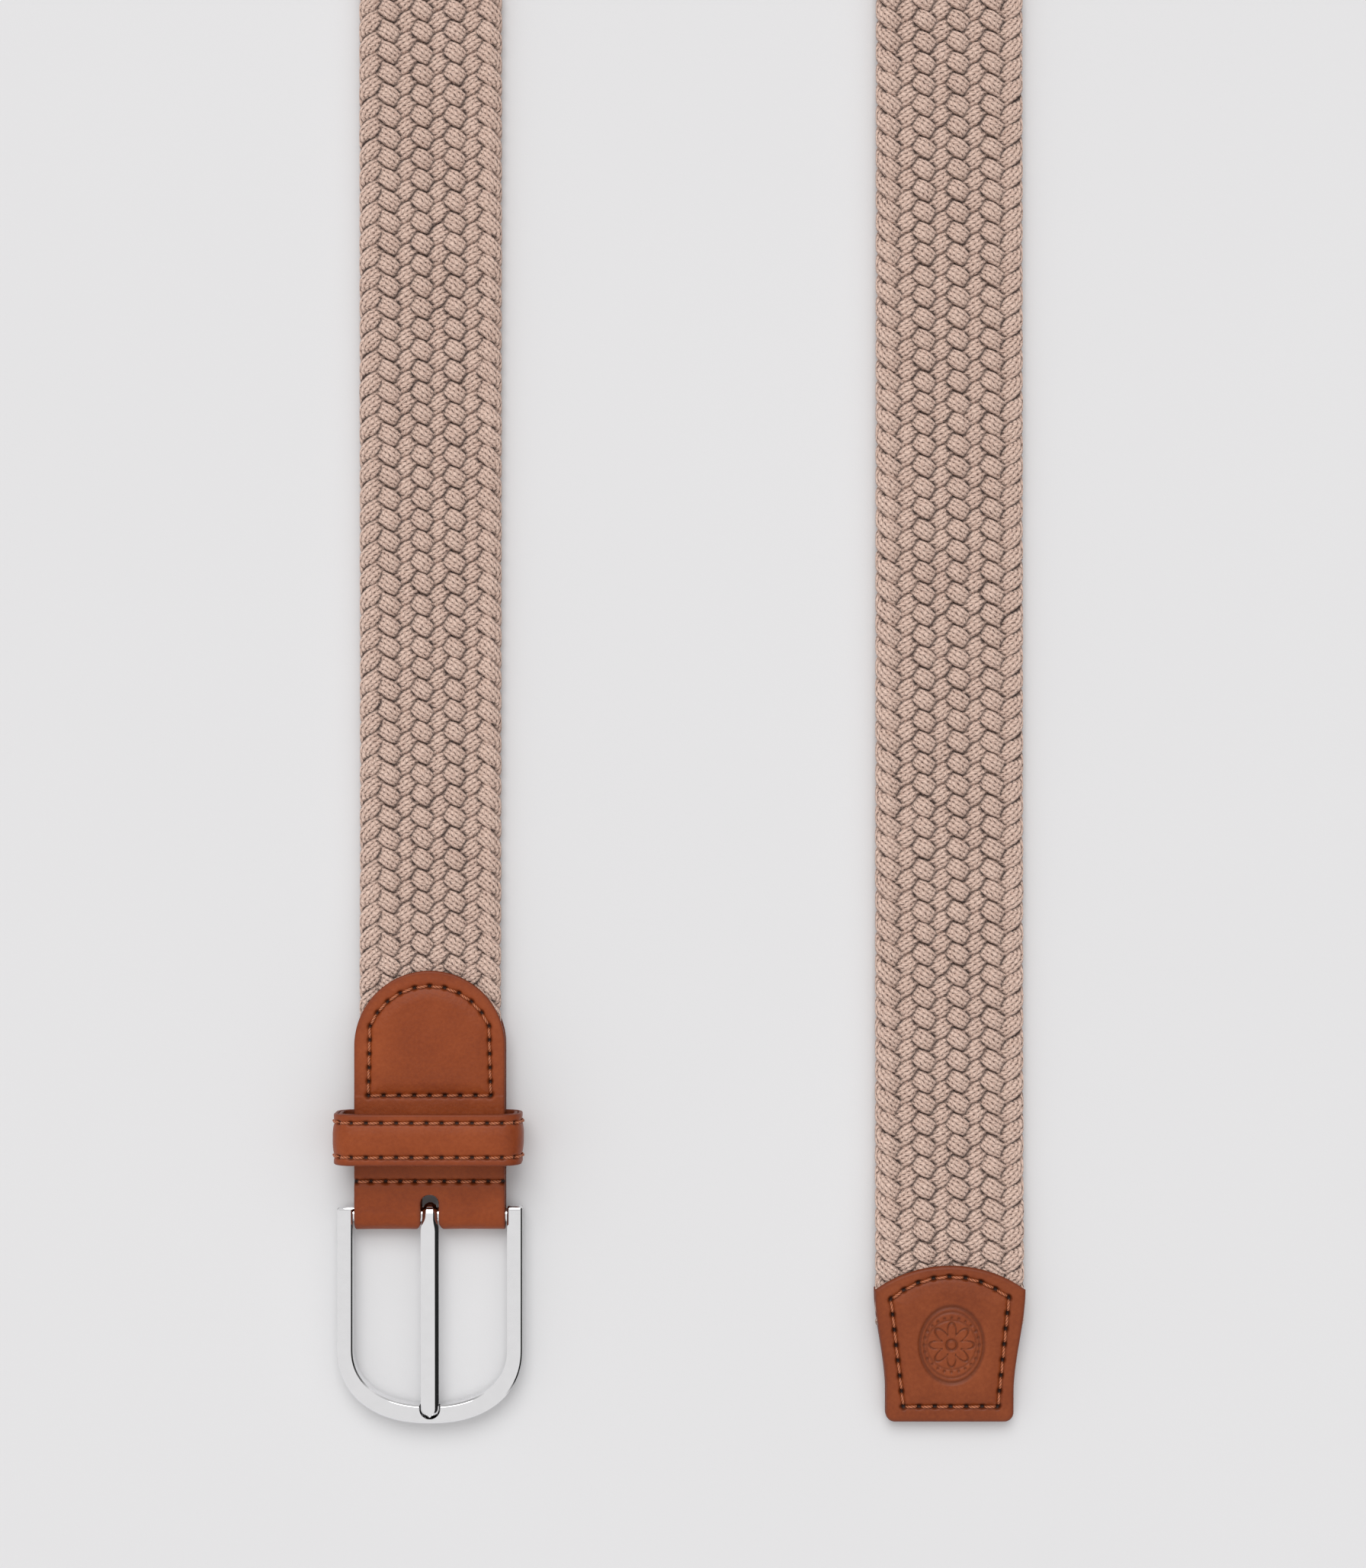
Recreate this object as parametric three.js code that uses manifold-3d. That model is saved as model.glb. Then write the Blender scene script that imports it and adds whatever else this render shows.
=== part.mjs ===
// A braided elastic belt with leather ends, a horseshoe buckle and a leather keeper loop.
// Millimetres, +Z up. The belt lies face up with both ends side by side, pointing to -Y.
// Between them the strap turns on its edge and runs round in one standing bend at +Y.

import * as THREE from 'three';
import { mergeVertices } from 'three/addons/utils/BufferGeometryUtils.js';
import Module from 'manifold-3d';

const wasm = await Module();
wasm.setup();

// ---- Driving dimensions -------------------------------------------------------------------

// Layout: the bar's axis is at y = 0 and the tail's end hangs below it.
const LEG_X = 60.4;
const TAIL_END_Y = -48.3;
const BEND_START_Y = 291.8;

// Braided strap
const STRAP_WIDTH_AT_BUCKLE = 33.0;
const STRAP_WIDTH_AT_TAIL = 34.8;
const STRAP_THICKNESS = 4.0;
const STRAP_EDGE = 1.2;
const SETTLE_LENGTH = 27;

// Standing bend: a small turn outwards, one long turn back, a small turn outwards
const FLARE_ANGLE = THREE.MathUtils.degToRad(14);
const FLARE_LENGTH = 90;
const FLARE_DELAY = 25;
const TURN_LENGTH = 367.6;
const TURN_OVERLAP = 30;
const TWIST_LENGTH = 125;

// Leather at the buckle end: one piece folded round the bar
const LEATHER = 1.35;
const CHAPE_WIDTH = 35.0;
const CHAPE_LENGTH = 56.8;
const FOLD_RADIUS = 3.0;
const SLOT_WIDTH = 5.3;
const SLOT_TOP = 4.9;
const BRAID_START = 25.8;
const BRAID_THICKNESS_IN_LEATHER = 2.8;
const FILLER_Y = [5.6, 9.2];
const GLUE_GAP = 0.1;

// Buckle
const BAR_RADIUS = 1.4;
const FRAME_OUTER = 21.5;
const FRAME_INNER = 17.9;
const FRAME_ARM_TOP = 2.2;
const FRAME_BOW_Y = -30.9;
const FRAME_OUTER_BOW = 17.4;
const FRAME_INNER_BOW = 13.2;
const BOW_FULLNESS = 2.25;
const BOW_STEPS = 30;
const FRAME_HEIGHT = 4.4;
const FRAME_BEVEL = 0.4;
const BAR_SOCKET_DEPTH = 2.1;
const RUNNING_GAP = 0.3;
const NOTCH_FLOOR = 3.3;

// Prong
const PRONG_WIDTH = 4.3;
const PRONG_FACE = 2.4;
const PRONG_THICKNESS = 2.0;
const PRONG_BEVEL = 0.9;
const PRONG_TIP_Y = -46.9;
const PRONG_TIP_TOP = 5.6;
const CURL_OUTER = 2.95;
const CURL_INNER = 1.65;

// Keeper loop
const KEEPER_WIDTH = 11.8;
const KEEPER_CENTRE_Y = 18.5;
const KEEPER_HALF = 21.65;
const KEEPER_BOTTOM = 1.75;
const KEEPER_TOP = 15.0;
const KEEPER_BEND = 4.6;
const KEEPER_PLY = 0.95;
const KEEPER_SEAM = 3.95;
const KEEPER_BUTT = 0.3;
const STAPLE_SPAN = 8;
const STAPLE_WIRE = 0.6;

// Leather tip at the tail end
const TIP_SHOULDER = 35.0;
const TIP_END_WIDTH = 29.8;
const TIP_LENGTH = 36.7;
const TIP_ARCH_RISE = 5.7;
const TIP_CORNER = 2.2;
const TIP_TAPER_START = 7.0;
const TIP_TAPER_STEPS = 6;
const TIP_END_THICKNESS = 3.7;
const TIP_ROOT_THICKNESS = 6.2;
const TIP_CORE_TOP = 20.4;
const BRAID_END = 21.0;

// Sewing
const THREAD_HALF_WIDTH = 0.4;
const THREAD_HALF_HEIGHT = 0.3;
const GROOVE_HALF_WIDTH = 0.55;
const GROOVE_DEPTH = 0.4;
const BACK_GROOVE_DEPTH = 0.75;
const D_SEAM_HALF = 14.2;
const D_SEAM_Y = 27.9;
const BAR_SEAM_Y = 8.0;
const BAR_SEAM_HALF = 17.0;
const TIP_SEAM_INSET = 3.1;

// ---- Materials ----------------------------------------------------------------------------

const tan = () => new THREE.MeshStandardMaterial({ color: 0x8c4628, roughness: 0.5, metalness: 0 });
const taupe = () => new THREE.MeshStandardMaterial({ color: 0xb1978c, roughness: 0.9, metalness: 0 });
const chrome = () => new THREE.MeshStandardMaterial({ color: 0xdcdcde, roughness: 0.08, metalness: 1 });
const steel = () => new THREE.MeshStandardMaterial({ color: 0xa8a8aa, roughness: 0.35, metalness: 1 });
const thread = () => new THREE.MeshStandardMaterial({ color: 0xb06a48, roughness: 0.7, metalness: 0 });

// ---- Geometry helpers ---------------------------------------------------------------------

function signedVolume(geometry) {
  const p = geometry.getAttribute('position');
  const index = geometry.getIndex();
  const [a, b, c] = [new THREE.Vector3(), new THREE.Vector3(), new THREE.Vector3()];
  let sum = 0;
  for (let i = 0; i < index.count; i += 3) {
    a.fromBufferAttribute(p, index.getX(i));
    b.fromBufferAttribute(p, index.getX(i + 1));
    c.fromBufferAttribute(p, index.getX(i + 2));
    sum += a.dot(b.cross(c));
  }
  return sum / 6;
}

// Turns the faces outward, whichever way round the rings were built.
function facingOut(geometry) {
  if (signedVolume(geometry) < 0) {
    const index = geometry.getIndex().array;
    for (let i = 0; i < index.length; i += 3) {
      [index[i + 1], index[i + 2]] = [index[i + 2], index[i + 1]];
    }
  }
  return geometry;
}

// A closed solid through stations. Each station is { at, side, up } and has its own 2-D section,
// whose x runs along side and y along up. A looped sweep has no ends.
function sweep(stations, sectionAt, looped = false) {
  const positions = [];
  stations.forEach((station, i) => {
    for (const q of sectionAt(i)) {
      const p = station.at.clone();
      p.addScaledVector(station.side, q.x);
      p.addScaledVector(station.up, q.y);
      positions.push(p.x, p.y, p.z);
    }
  });
  const index = [];
  const size = sectionAt(0).length;
  const spans = looped ? stations.length : stations.length - 1;
  for (let i = 0; i < spans; i++) {
    const near = i * size;
    const far = ((i + 1) % stations.length) * size;
    for (let j = 0; j < size; j++) {
      const k = (j + 1) % size;
      index.push(near + j, near + k, far + k);
      index.push(near + j, far + k, far + j);
    }
  }
  if (!looped) {
    const last = (stations.length - 1) * size;
    for (const [a, b, c] of THREE.ShapeUtils.triangulateShape(sectionAt(0), [])) {
      index.push(a, c, b);
      index.push(last + a, last + b, last + c);
    }
  }
  const geometry = new THREE.BufferGeometry();
  geometry.setAttribute('position', new THREE.Float32BufferAttribute(positions, 3));
  geometry.setIndex(index);
  return facingOut(geometry);
}

function closed(geometry) {
  const bare = geometry.clone();
  bare.deleteAttribute('normal');
  bare.deleteAttribute('uv');
  return mergeVertices(bare, 1e-4);
}

function solid(geometry) {
  const bare = closed(geometry);
  const vertProperties = new Float32Array(bare.getAttribute('position').array);
  const triVerts = new Uint32Array(bare.getIndex().array);
  return new wasm.Manifold(new wasm.Mesh({ numProp: 3, vertProperties, triVerts }));
}

function geometryOf(manifold) {
  const mesh = manifold.getMesh();
  const geometry = new THREE.BufferGeometry();
  geometry.setAttribute('position', new THREE.Float32BufferAttribute(mesh.vertProperties, 3));
  geometry.setIndex([...mesh.triVerts]);
  return geometry;
}

function cut(geometry, ...cutters) {
  let result = solid(geometry);
  for (const cutter of cutters) {
    result = result.subtract(solid(cutter));
  }
  return geometryOf(result);
}

// A plan outline, extruded from one height to another.
function slab(shape, low, high, curveSegments = 12) {
  const options = { depth: high - low, bevelEnabled: false, curveSegments };
  return new THREE.ExtrudeGeometry(shape, options).translate(0, 0, low);
}

// A side outline drawn in (y, z), extruded symmetrically along X.
function sideSlab(shape, width, curveSegments = 12) {
  const options = { depth: width, bevelEnabled: false, curveSegments };
  const geometry = new THREE.ExtrudeGeometry(shape, options).translate(0, 0, -width / 2);
  const turn = new THREE.Matrix4().makeBasis(
    new THREE.Vector3(0, 1, 0), new THREE.Vector3(0, 0, 1), new THREE.Vector3(1, 0, 0));
  return geometry.applyMatrix4(turn);
}

function box(x, y, z) {
  const geometry = new THREE.BoxGeometry(x[1] - x[0], y[1] - y[0], z[1] - z[0]);
  return geometry.translate((x[0] + x[1]) / 2, (y[0] + y[1]) / 2, (z[0] + z[1]) / 2);
}

function part(name, geometry, material) {
  const mesh = new THREE.Mesh(geometry, material);
  mesh.name = name;
  return mesh;
}

const smoothstep = (t) => THREE.MathUtils.smoothstep(t, 0, 1);
const lerp = THREE.MathUtils.lerp;

// ---- Sewing: a thread lies in a groove along a path of plan points ------------------------

const UP = new THREE.Vector3(0, 0, 1);

const threadSection = [
  [-THREAD_HALF_WIDTH, 0], [-THREAD_HALF_WIDTH / 2, -THREAD_HALF_HEIGHT],
  [THREAD_HALF_WIDTH / 2, -THREAD_HALF_HEIGHT], [THREAD_HALF_WIDTH, 0],
  [THREAD_HALF_WIDTH / 2, THREAD_HALF_HEIGHT], [-THREAD_HALF_WIDTH / 2, THREAD_HALF_HEIGHT],
].map(([x, y]) => new THREE.Vector2(x, y));

function grooveSection(low, high) {
  const w = GROOVE_HALF_WIDTH;
  return [[-w, low], [w, low], [w, high], [-w, high]].map(([x, y]) => new THREE.Vector2(x, y));
}

// Stations along plan points, mitred at the corners, at the height that the surface has there.
function seamStations(points, looped, heightAt) {
  const count = points.length;
  return points.map((p, i) => {
    const before = looped || i > 0 ? points[(i + count - 1) % count] : null;
    const after = looped || i < count - 1 ? points[(i + 1) % count] : null;
    const incoming = (before ? p.clone().sub(before) : after.clone().sub(p)).normalize();
    const outgoing = (after ? after.clone().sub(p) : p.clone().sub(before)).normalize();
    const along = incoming.clone().add(outgoing).normalize();
    const stretch = 1 / Math.max(0.5, along.dot(outgoing));
    const side = new THREE.Vector3(along.y, -along.x, 0).multiplyScalar(stretch);
    return { at: new THREE.Vector3(p.x, p.y, heightAt(p.y)), side, up: UP };
  });
}

const seamThread = (points, looped, heightAt) =>
  sweep(seamStations(points, looped, heightAt), () => threadSection, looped);

const seamGroove = (points, looped, heightAt, low, high) =>
  sweep(seamStations(points, looped, heightAt), () => grooveSection(low, high), looped);

const frontGroove = (points, looped, heightAt) =>
  seamGroove(points, looped, heightAt, -GROOVE_DEPTH, 2);

const backGroove = (points, looped) =>
  seamGroove(points, looped, () => 0, -2, BACK_GROOVE_DEPTH);

const backHeight = () => THREAD_HALF_HEIGHT + 0.05;

function arcPoints(cx, cy, radius, from, to, steps) {
  const points = [];
  for (let i = 0; i <= steps; i++) {
    const a = lerp(from, to, i / steps);
    points.push(new THREE.Vector2(cx + radius * Math.cos(a), cy + radius * Math.sin(a)));
  }
  return points;
}

// ---- Braided strap ------------------------------------------------------------------------

// Heading of the standing bend at a distance u along it: 0 is +Y, positive turns to +X.
const TURN_START = FLARE_DELAY + FLARE_LENGTH - TURN_OVERLAP;
const BEND_LENGTH = 2 * TURN_START + TURN_LENGTH;

function heading(u) {
  const flareIn = smoothstep((u - FLARE_DELAY) / FLARE_LENGTH);
  const turn = smoothstep((u - TURN_START) / TURN_LENGTH);
  const flareOut = smoothstep((u - BEND_LENGTH + FLARE_DELAY + FLARE_LENGTH) / FLARE_LENGTH);
  return (Math.PI + 2 * FLARE_ANGLE) * turn - FLARE_ANGLE * (flareIn + flareOut);
}

// Lean of the strap from flat to upright, as an angle.
function lean(u) {
  const rise = smoothstep(u / TWIST_LENGTH);
  const fall = smoothstep((BEND_LENGTH - u) / TWIST_LENGTH);
  return Math.PI / 2 * Math.min(rise, fall);
}

// Points { x, y, heading, lean } all the way along, with the distance from the braid's start.
function strapRoute() {
  const route = [];
  const flat = (x, y, angle, s, height, thickness) =>
    route.push({ x, y, heading: angle, lean: 0, s, height, thickness });
  const legLength = BEND_START_Y - BRAID_START;
  const inLeather = BRAID_THICKNESS_IN_LEATHER;
  const exit = CHAPE_LENGTH + 0.7;
  flat(-LEG_X, BRAID_START, 0, 0, FOLD_RADIUS, inLeather);
  flat(-LEG_X, exit, 0, exit - BRAID_START, FOLD_RADIUS, inLeather);
  for (const t of [0.25, 0.5, 0.75, 1]) {
    const y = exit + SETTLE_LENGTH * t;
    const height = lerp(FOLD_RADIUS, STRAP_THICKNESS / 2, smoothstep(t));
    flat(-LEG_X, y, 0, y - BRAID_START, height, lerp(inLeather, STRAP_THICKNESS, smoothstep(t)));
  }
  for (const y of [130, 180, 240]) {
    flat(-LEG_X, y, 0, y - BRAID_START, STRAP_THICKNESS / 2, STRAP_THICKNESS);
  }

  const fine = 400;
  const keep = 8;
  const step = BEND_LENGTH / fine;
  let x = -LEG_X;
  let y = BEND_START_Y;
  for (let i = 0; i <= fine; i++) {
    const u = i * step;
    if (i % keep === 0) {
      const s = legLength + u;
      route.push({ x, y, heading: heading(u), lean: lean(u), s, thickness: STRAP_THICKNESS });
    }
    const middle = heading(u + step / 2);
    x += Math.sin(middle) * step;
    y += Math.cos(middle) * step;
  }

  const total = legLength + BEND_LENGTH + (BEND_START_Y - TAIL_END_Y - BRAID_END);
  const tail = (y0, height, thickness) =>
    flat(LEG_X, y0, Math.PI, total - (y0 - TAIL_END_Y - BRAID_END), height, thickness);
  for (const y0 of [240, 180, 120, 60]) {
    tail(y0, STRAP_THICKNESS / 2, STRAP_THICKNESS);
  }
  const [rootHeight, rootThickness] = braidInTip(TIP_LENGTH + 0.7);
  for (const t of [1, 0.75, 0.5, 0.25]) {
    const height = lerp(rootHeight, STRAP_THICKNESS / 2, smoothstep(t));
    const thickness = lerp(rootThickness, STRAP_THICKNESS, smoothstep(t));
    tail(TAIL_END_Y + TIP_LENGTH + 0.7 + SETTLE_LENGTH * t, height, thickness);
  }
  tail(TAIL_END_Y + TIP_LENGTH + 0.7, rootHeight, rootThickness);
  tail(TAIL_END_Y + BRAID_END, ...braidInTip(BRAID_END));
  return { route, total };
}

function strap() {
  const { route, total } = strapRoute();
  const widthAt = (s) => lerp(STRAP_WIDTH_AT_BUCKLE, STRAP_WIDTH_AT_TAIL, s / total);
  const stations = route.map((p) => {
    const across = new THREE.Vector3(Math.cos(p.heading), -Math.sin(p.heading), 0);
    const side = across.clone().multiplyScalar(Math.cos(p.lean)).addScaledVector(UP, Math.sin(p.lean));
    const up = UP.clone().multiplyScalar(Math.cos(p.lean)).addScaledVector(across, -Math.sin(p.lean));
    const standing = widthAt(p.s) / 2 * Math.sin(p.lean) + STRAP_THICKNESS / 2 * Math.cos(p.lean);
    return { at: new THREE.Vector3(p.x, p.y, p.height ?? standing), side, up };
  });
  return sweep(stations, (i) => {
    const w = widthAt(route[i].s) / 2;
    const t = route[i].thickness / 2;
    const e = STRAP_EDGE * route[i].thickness / STRAP_THICKNESS;
    const outline = [
      [-w + e, -t], [w - e, -t], [w, -t + e], [w, t - e],
      [w - e, t], [-w + e, t], [-w, t - e], [-w, -t + e],
    ];
    return outline.map(([x, y]) => new THREE.Vector2(x, y));
  });
}

// ---- Buckle end ---------------------------------------------------------------------------

const ARCH_Y = CHAPE_LENGTH - CHAPE_WIDTH / 2;

function dSeam() {
  const arch = arcPoints(0, ARCH_Y, D_SEAM_HALF, 0, Math.PI, 14);
  return [new THREE.Vector2(-D_SEAM_HALF, D_SEAM_Y), new THREE.Vector2(D_SEAM_HALF, D_SEAM_Y), ...arch];
}

const barSeam = () => [
  new THREE.Vector2(-BAR_SEAM_HALF, BAR_SEAM_Y),
  new THREE.Vector2(BAR_SEAM_HALF, BAR_SEAM_Y),
];
const chapeTop = () => 2 * FOLD_RADIUS;

function chapeLeather() {
  const r = FOLD_RADIUS;
  const end = CHAPE_LENGTH + 1;
  const fold = new THREE.Shape();
  fold.moveTo(end, 0);
  fold.lineTo(0, 0);
  fold.absarc(0, r, r, -Math.PI / 2, -3 * Math.PI / 2, true);
  fold.lineTo(end, 2 * r);
  fold.lineTo(end, 2 * r - LEATHER);
  fold.lineTo(0, 2 * r - LEATHER);
  fold.absarc(0, r, r - LEATHER, Math.PI / 2, 3 * Math.PI / 2, false);
  fold.lineTo(end, LEATHER);

  const half = CHAPE_WIDTH / 2;
  const plan = new THREE.Shape();
  plan.moveTo(-half, -2 * r);
  plan.lineTo(half, -2 * r);
  plan.absarc(0, ARCH_Y, half, 0, Math.PI, false);

  const slot = new THREE.Shape();
  slot.moveTo(-SLOT_WIDTH / 2, -2 * r);
  slot.lineTo(SLOT_WIDTH / 2, -2 * r);
  slot.absarc(0, SLOT_TOP - SLOT_WIDTH / 2, SLOT_WIDTH / 2, 0, Math.PI, false);

  const folded = solid(sideSlab(fold, CHAPE_WIDTH + 2, 8));
  const trimmed = folded.intersect(solid(slab(plan, -1, 3 * r, 18)));
  return cut(
    geometryOf(trimmed), slab(slot, -1, 3 * r, 8),
    frontGroove(dSeam(), true, chapeTop), frontGroove(barSeam(), false, chapeTop),
    backGroove(dSeam(), true), backGroove(barSeam(), false));
}

function chapeFiller() {
  const half = CHAPE_WIDTH / 2;
  return box([-half, half], FILLER_Y, [LEATHER + GLUE_GAP, 2 * FOLD_RADIUS - LEATHER - GLUE_GAP]);
}

function buckleBar() {
  const length = 2 * (FRAME_INNER + BAR_SOCKET_DEPTH - RUNNING_GAP);
  return new THREE.CylinderGeometry(BAR_RADIUS, BAR_RADIUS, length, 20)
    .rotateZ(Math.PI / 2)
    .translate(0, 0, FOLD_RADIUS);
}

// The bow is half a superellipse, a little fuller than an ellipse.
function bowPoints(half, depth) {
  const power = 2 / BOW_FULLNESS;
  const points = [];
  for (let i = 0; i <= BOW_STEPS; i++) {
    const angle = Math.PI * i / BOW_STEPS;
    const across = -Math.cos(angle);
    const x = half * Math.sign(across) * Math.abs(across) ** power;
    const y = FRAME_BOW_Y - depth * Math.abs(Math.sin(angle)) ** power;
    points.push(new THREE.Vector2(x, y));
  }
  return points;
}

function buckleFrame() {
  const shape = new THREE.Shape([
    new THREE.Vector2(-FRAME_OUTER, FRAME_ARM_TOP),
    ...bowPoints(FRAME_OUTER, FRAME_OUTER_BOW),
    new THREE.Vector2(FRAME_OUTER, FRAME_ARM_TOP),
    new THREE.Vector2(FRAME_INNER, FRAME_ARM_TOP),
    ...bowPoints(FRAME_INNER, FRAME_INNER_BOW).reverse(),
    new THREE.Vector2(-FRAME_INNER, FRAME_ARM_TOP),
  ]);

  const bottom = FOLD_RADIUS - FRAME_HEIGHT / 2;
  const frame = new THREE.ExtrudeGeometry(shape, {
    depth: FRAME_HEIGHT - 2 * FRAME_BEVEL,
    bevelSize: FRAME_BEVEL,
    bevelThickness: FRAME_BEVEL,
    bevelOffset: -FRAME_BEVEL,
    bevelSegments: 1,
  }).translate(0, 0, bottom + FRAME_BEVEL);

  const sockets = new THREE.CylinderGeometry(
    BAR_RADIUS + RUNNING_GAP, BAR_RADIUS + RUNNING_GAP, 2 * (FRAME_INNER + BAR_SOCKET_DEPTH), 16)
    .rotateZ(Math.PI / 2)
    .translate(0, 0, FOLD_RADIUS);
  const bowEnd = FRAME_BOW_Y - FRAME_OUTER_BOW;
  const notchHalf = PRONG_WIDTH / 2 + 0.5;
  const notch = box([-notchHalf, notchHalf], [bowEnd + 0.9, bowEnd + 6.4], [NOTCH_FLOOR, 3 * FOLD_RADIUS]);
  return cut(frame, sockets, notch);
}

function prong() {
  const tipRadius = PRONG_WIDTH / 2;
  const start = CURL_INNER * 0.4;
  const rootTop = FOLD_RADIUS + CURL_OUTER;
  const round = [0, 0.35, 0.65, 0.85, 0.97];
  const lengths = [start, -8, -24, ...round.map((r) => PRONG_TIP_Y + tipRadius * (1 - r))];
  const stations = lengths.map((y) => {
    const top = lerp(rootTop, PRONG_TIP_TOP, (start - y) / (start - PRONG_TIP_Y));
    return { at: new THREE.Vector3(0, y, top), side: new THREE.Vector3(1, 0, 0), up: UP };
  });
  const shank = sweep(stations, (i) => {
    const reach = round[i - 3] ?? 0;
    const k = Math.sqrt(1 - reach * reach);
    const face = PRONG_FACE / 2 * k;
    const half = PRONG_WIDTH / 2 * k;
    const outline = [
      [-face, 0], [-half, -PRONG_BEVEL], [-half, -PRONG_THICKNESS],
      [half, -PRONG_THICKNESS], [half, -PRONG_BEVEL], [face, 0],
    ];
    return outline.map(([x, y]) => new THREE.Vector2(x, y));
  });
  const curl = new THREE.CylinderGeometry(CURL_OUTER, CURL_OUTER, PRONG_WIDTH, 28)
    .rotateZ(Math.PI / 2)
    .translate(0, 0, FOLD_RADIUS);
  const eye = new THREE.CylinderGeometry(CURL_INNER, CURL_INNER, PRONG_WIDTH + 2, 24)
    .rotateZ(Math.PI / 2)
    .translate(0, 0, FOLD_RADIUS);
  return geometryOf(solid(curl).add(solid(shank)).subtract(solid(eye)));
}

// ---- Keeper loop --------------------------------------------------------------------------

// Stations round a rounded rectangle, from the butt joint at the middle of the back band. The
// station's side runs along the loop's width and its up points into the loop.
function keeperStations(inset) {
  const half = KEEPER_HALF - inset;
  const low = KEEPER_BOTTOM + inset;
  const high = KEEPER_TOP - inset;
  const radius = KEEPER_BEND - inset;
  const corners = [
    [half - radius, low + radius, -Math.PI / 2],
    [half - radius, high - radius, 0],
    [-half + radius, high - radius, Math.PI / 2],
    [-half + radius, low + radius, Math.PI],
  ];
  const steps = 5;
  const stations = [];
  const add = (x, z, outward) => {
    const up = new THREE.Vector3(-Math.cos(outward), 0, -Math.sin(outward));
    stations.push({ at: new THREE.Vector3(x, KEEPER_CENTRE_Y, z), side: new THREE.Vector3(0, 1, 0), up });
  };
  add(KEEPER_BUTT / 2, low, -Math.PI / 2);
  for (const [cx, cz, from] of corners) {
    for (let i = 0; i <= steps; i++) {
      const a = from + Math.PI / 2 * i / steps;
      add(cx + radius * Math.cos(a), cz + radius * Math.sin(a), a);
    }
  }
  add(-KEEPER_BUTT / 2, low, -Math.PI / 2);
  return stations;
}

// A ply's section: its outer face is at 0 and its thickness runs to positive y.
function plySection(grooveOutside) {
  const half = KEEPER_WIDTH / 2;
  const w = GROOVE_HALF_WIDTH;
  const d = GROOVE_DEPTH;
  const outline = [];
  const groovedFace = (y, inward, direction) => {
    outline.push([-half * direction, y]);
    for (const seam of [-KEEPER_SEAM * direction, KEEPER_SEAM * direction]) {
      outline.push([seam - w * direction, y], [seam - w * direction, y + inward]);
      outline.push([seam + w * direction, y + inward], [seam + w * direction, y]);
    }
    outline.push([half * direction, y]);
  };
  if (grooveOutside) {
    groovedFace(0, d, 1);
    outline.push([half, KEEPER_PLY], [-half, KEEPER_PLY]);
  } else {
    outline.push([-half, 0], [half, 0]);
    groovedFace(KEEPER_PLY, -d, -1);
  }
  return outline.map(([x, y]) => new THREE.Vector2(x, y));
}

const LINING_INSET = KEEPER_PLY + GLUE_GAP;
const LINING_FACE = LINING_INSET + KEEPER_PLY;

function stapleLegs(clearance) {
  const half = STAPLE_WIRE / 2 + clearance;
  return [-1, 1].map((end) => {
    const x = end * (STAPLE_SPAN - STAPLE_WIRE) / 2;
    return box(
      [x - half, x + half], [KEEPER_CENTRE_Y - half, KEEPER_CENTRE_Y + half],
      [KEEPER_BOTTOM + 0.05 - 3 * clearance, KEEPER_BOTTOM + LINING_FACE + 0.3]);
  });
}

const keeperPly = (inset, grooveOutside) =>
  cut(sweep(keeperStations(inset), () => plySection(grooveOutside)), ...stapleLegs(0.3));

function keeperThread(inset, seam) {
  const stations = keeperStations(inset);
  stations.forEach((station) => station.at.setY(KEEPER_CENTRE_Y + seam));
  return sweep(stations, () => threadSection);
}

function keeperStaple() {
  const low = KEEPER_BOTTOM + LINING_FACE + 0.1;
  const half = STAPLE_WIRE / 2;
  const reach = STAPLE_SPAN / 2;
  const crown = box([-reach, reach], [KEEPER_CENTRE_Y - half, KEEPER_CENTRE_Y + half], [low, low + 0.5]);
  let staple = solid(crown);
  for (const leg of stapleLegs(0)) {
    staple = staple.add(solid(leg));
  }
  return geometryOf(staple);
}

// ---- Leather tip --------------------------------------------------------------------------

const tipTop = (y) => lerp(TIP_END_THICKNESS, TIP_ROOT_THICKNESS, y / TIP_LENGTH);

function braidInTip(y) {
  const low = LEATHER + 2 * GLUE_GAP;
  const high = tipTop(Math.min(y, TIP_LENGTH)) - LEATHER - 2 * GLUE_GAP;
  return [(low + high) / 2, high - low];
}

// Half outline of the tip from its end to its shoulder, inset by a margin.
function tipOutline(inset) {
  const shoulderY = TIP_LENGTH - TIP_ARCH_RISE;
  const half = TIP_SHOULDER / 2 - inset;
  const endHalf = TIP_END_WIDTH / 2 - inset;
  const radius = TIP_CORNER;
  const archRadius = ((TIP_SHOULDER / 2) ** 2 + TIP_ARCH_RISE ** 2) / (2 * TIP_ARCH_RISE) - inset;
  const archY = TIP_LENGTH - inset - archRadius;
  const shoulder = Math.asin(half / archRadius);
  const corner = arcPoints(endHalf - radius, inset + radius, radius, -Math.PI / 2, 0, 4);
  const arch = arcPoints(0, archY, archRadius, Math.PI / 2 - shoulder, Math.PI / 2, 7);
  const side = [];
  for (let i = 1; i < TIP_TAPER_STEPS; i++) {
    const t = i / TIP_TAPER_STEPS;
    const x = lerp(endHalf, half, t * t * (3 - 2 * t));
    side.push(new THREE.Vector2(x, lerp(TIP_TAPER_START, shoulderY, t)));
  }
  const right = [...corner, ...side, ...arch];
  const left = right.slice(0, -1).reverse().map((p) => new THREE.Vector2(-p.x, p.y));
  return { points: [...right, ...left], shoulderY };
}

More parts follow.
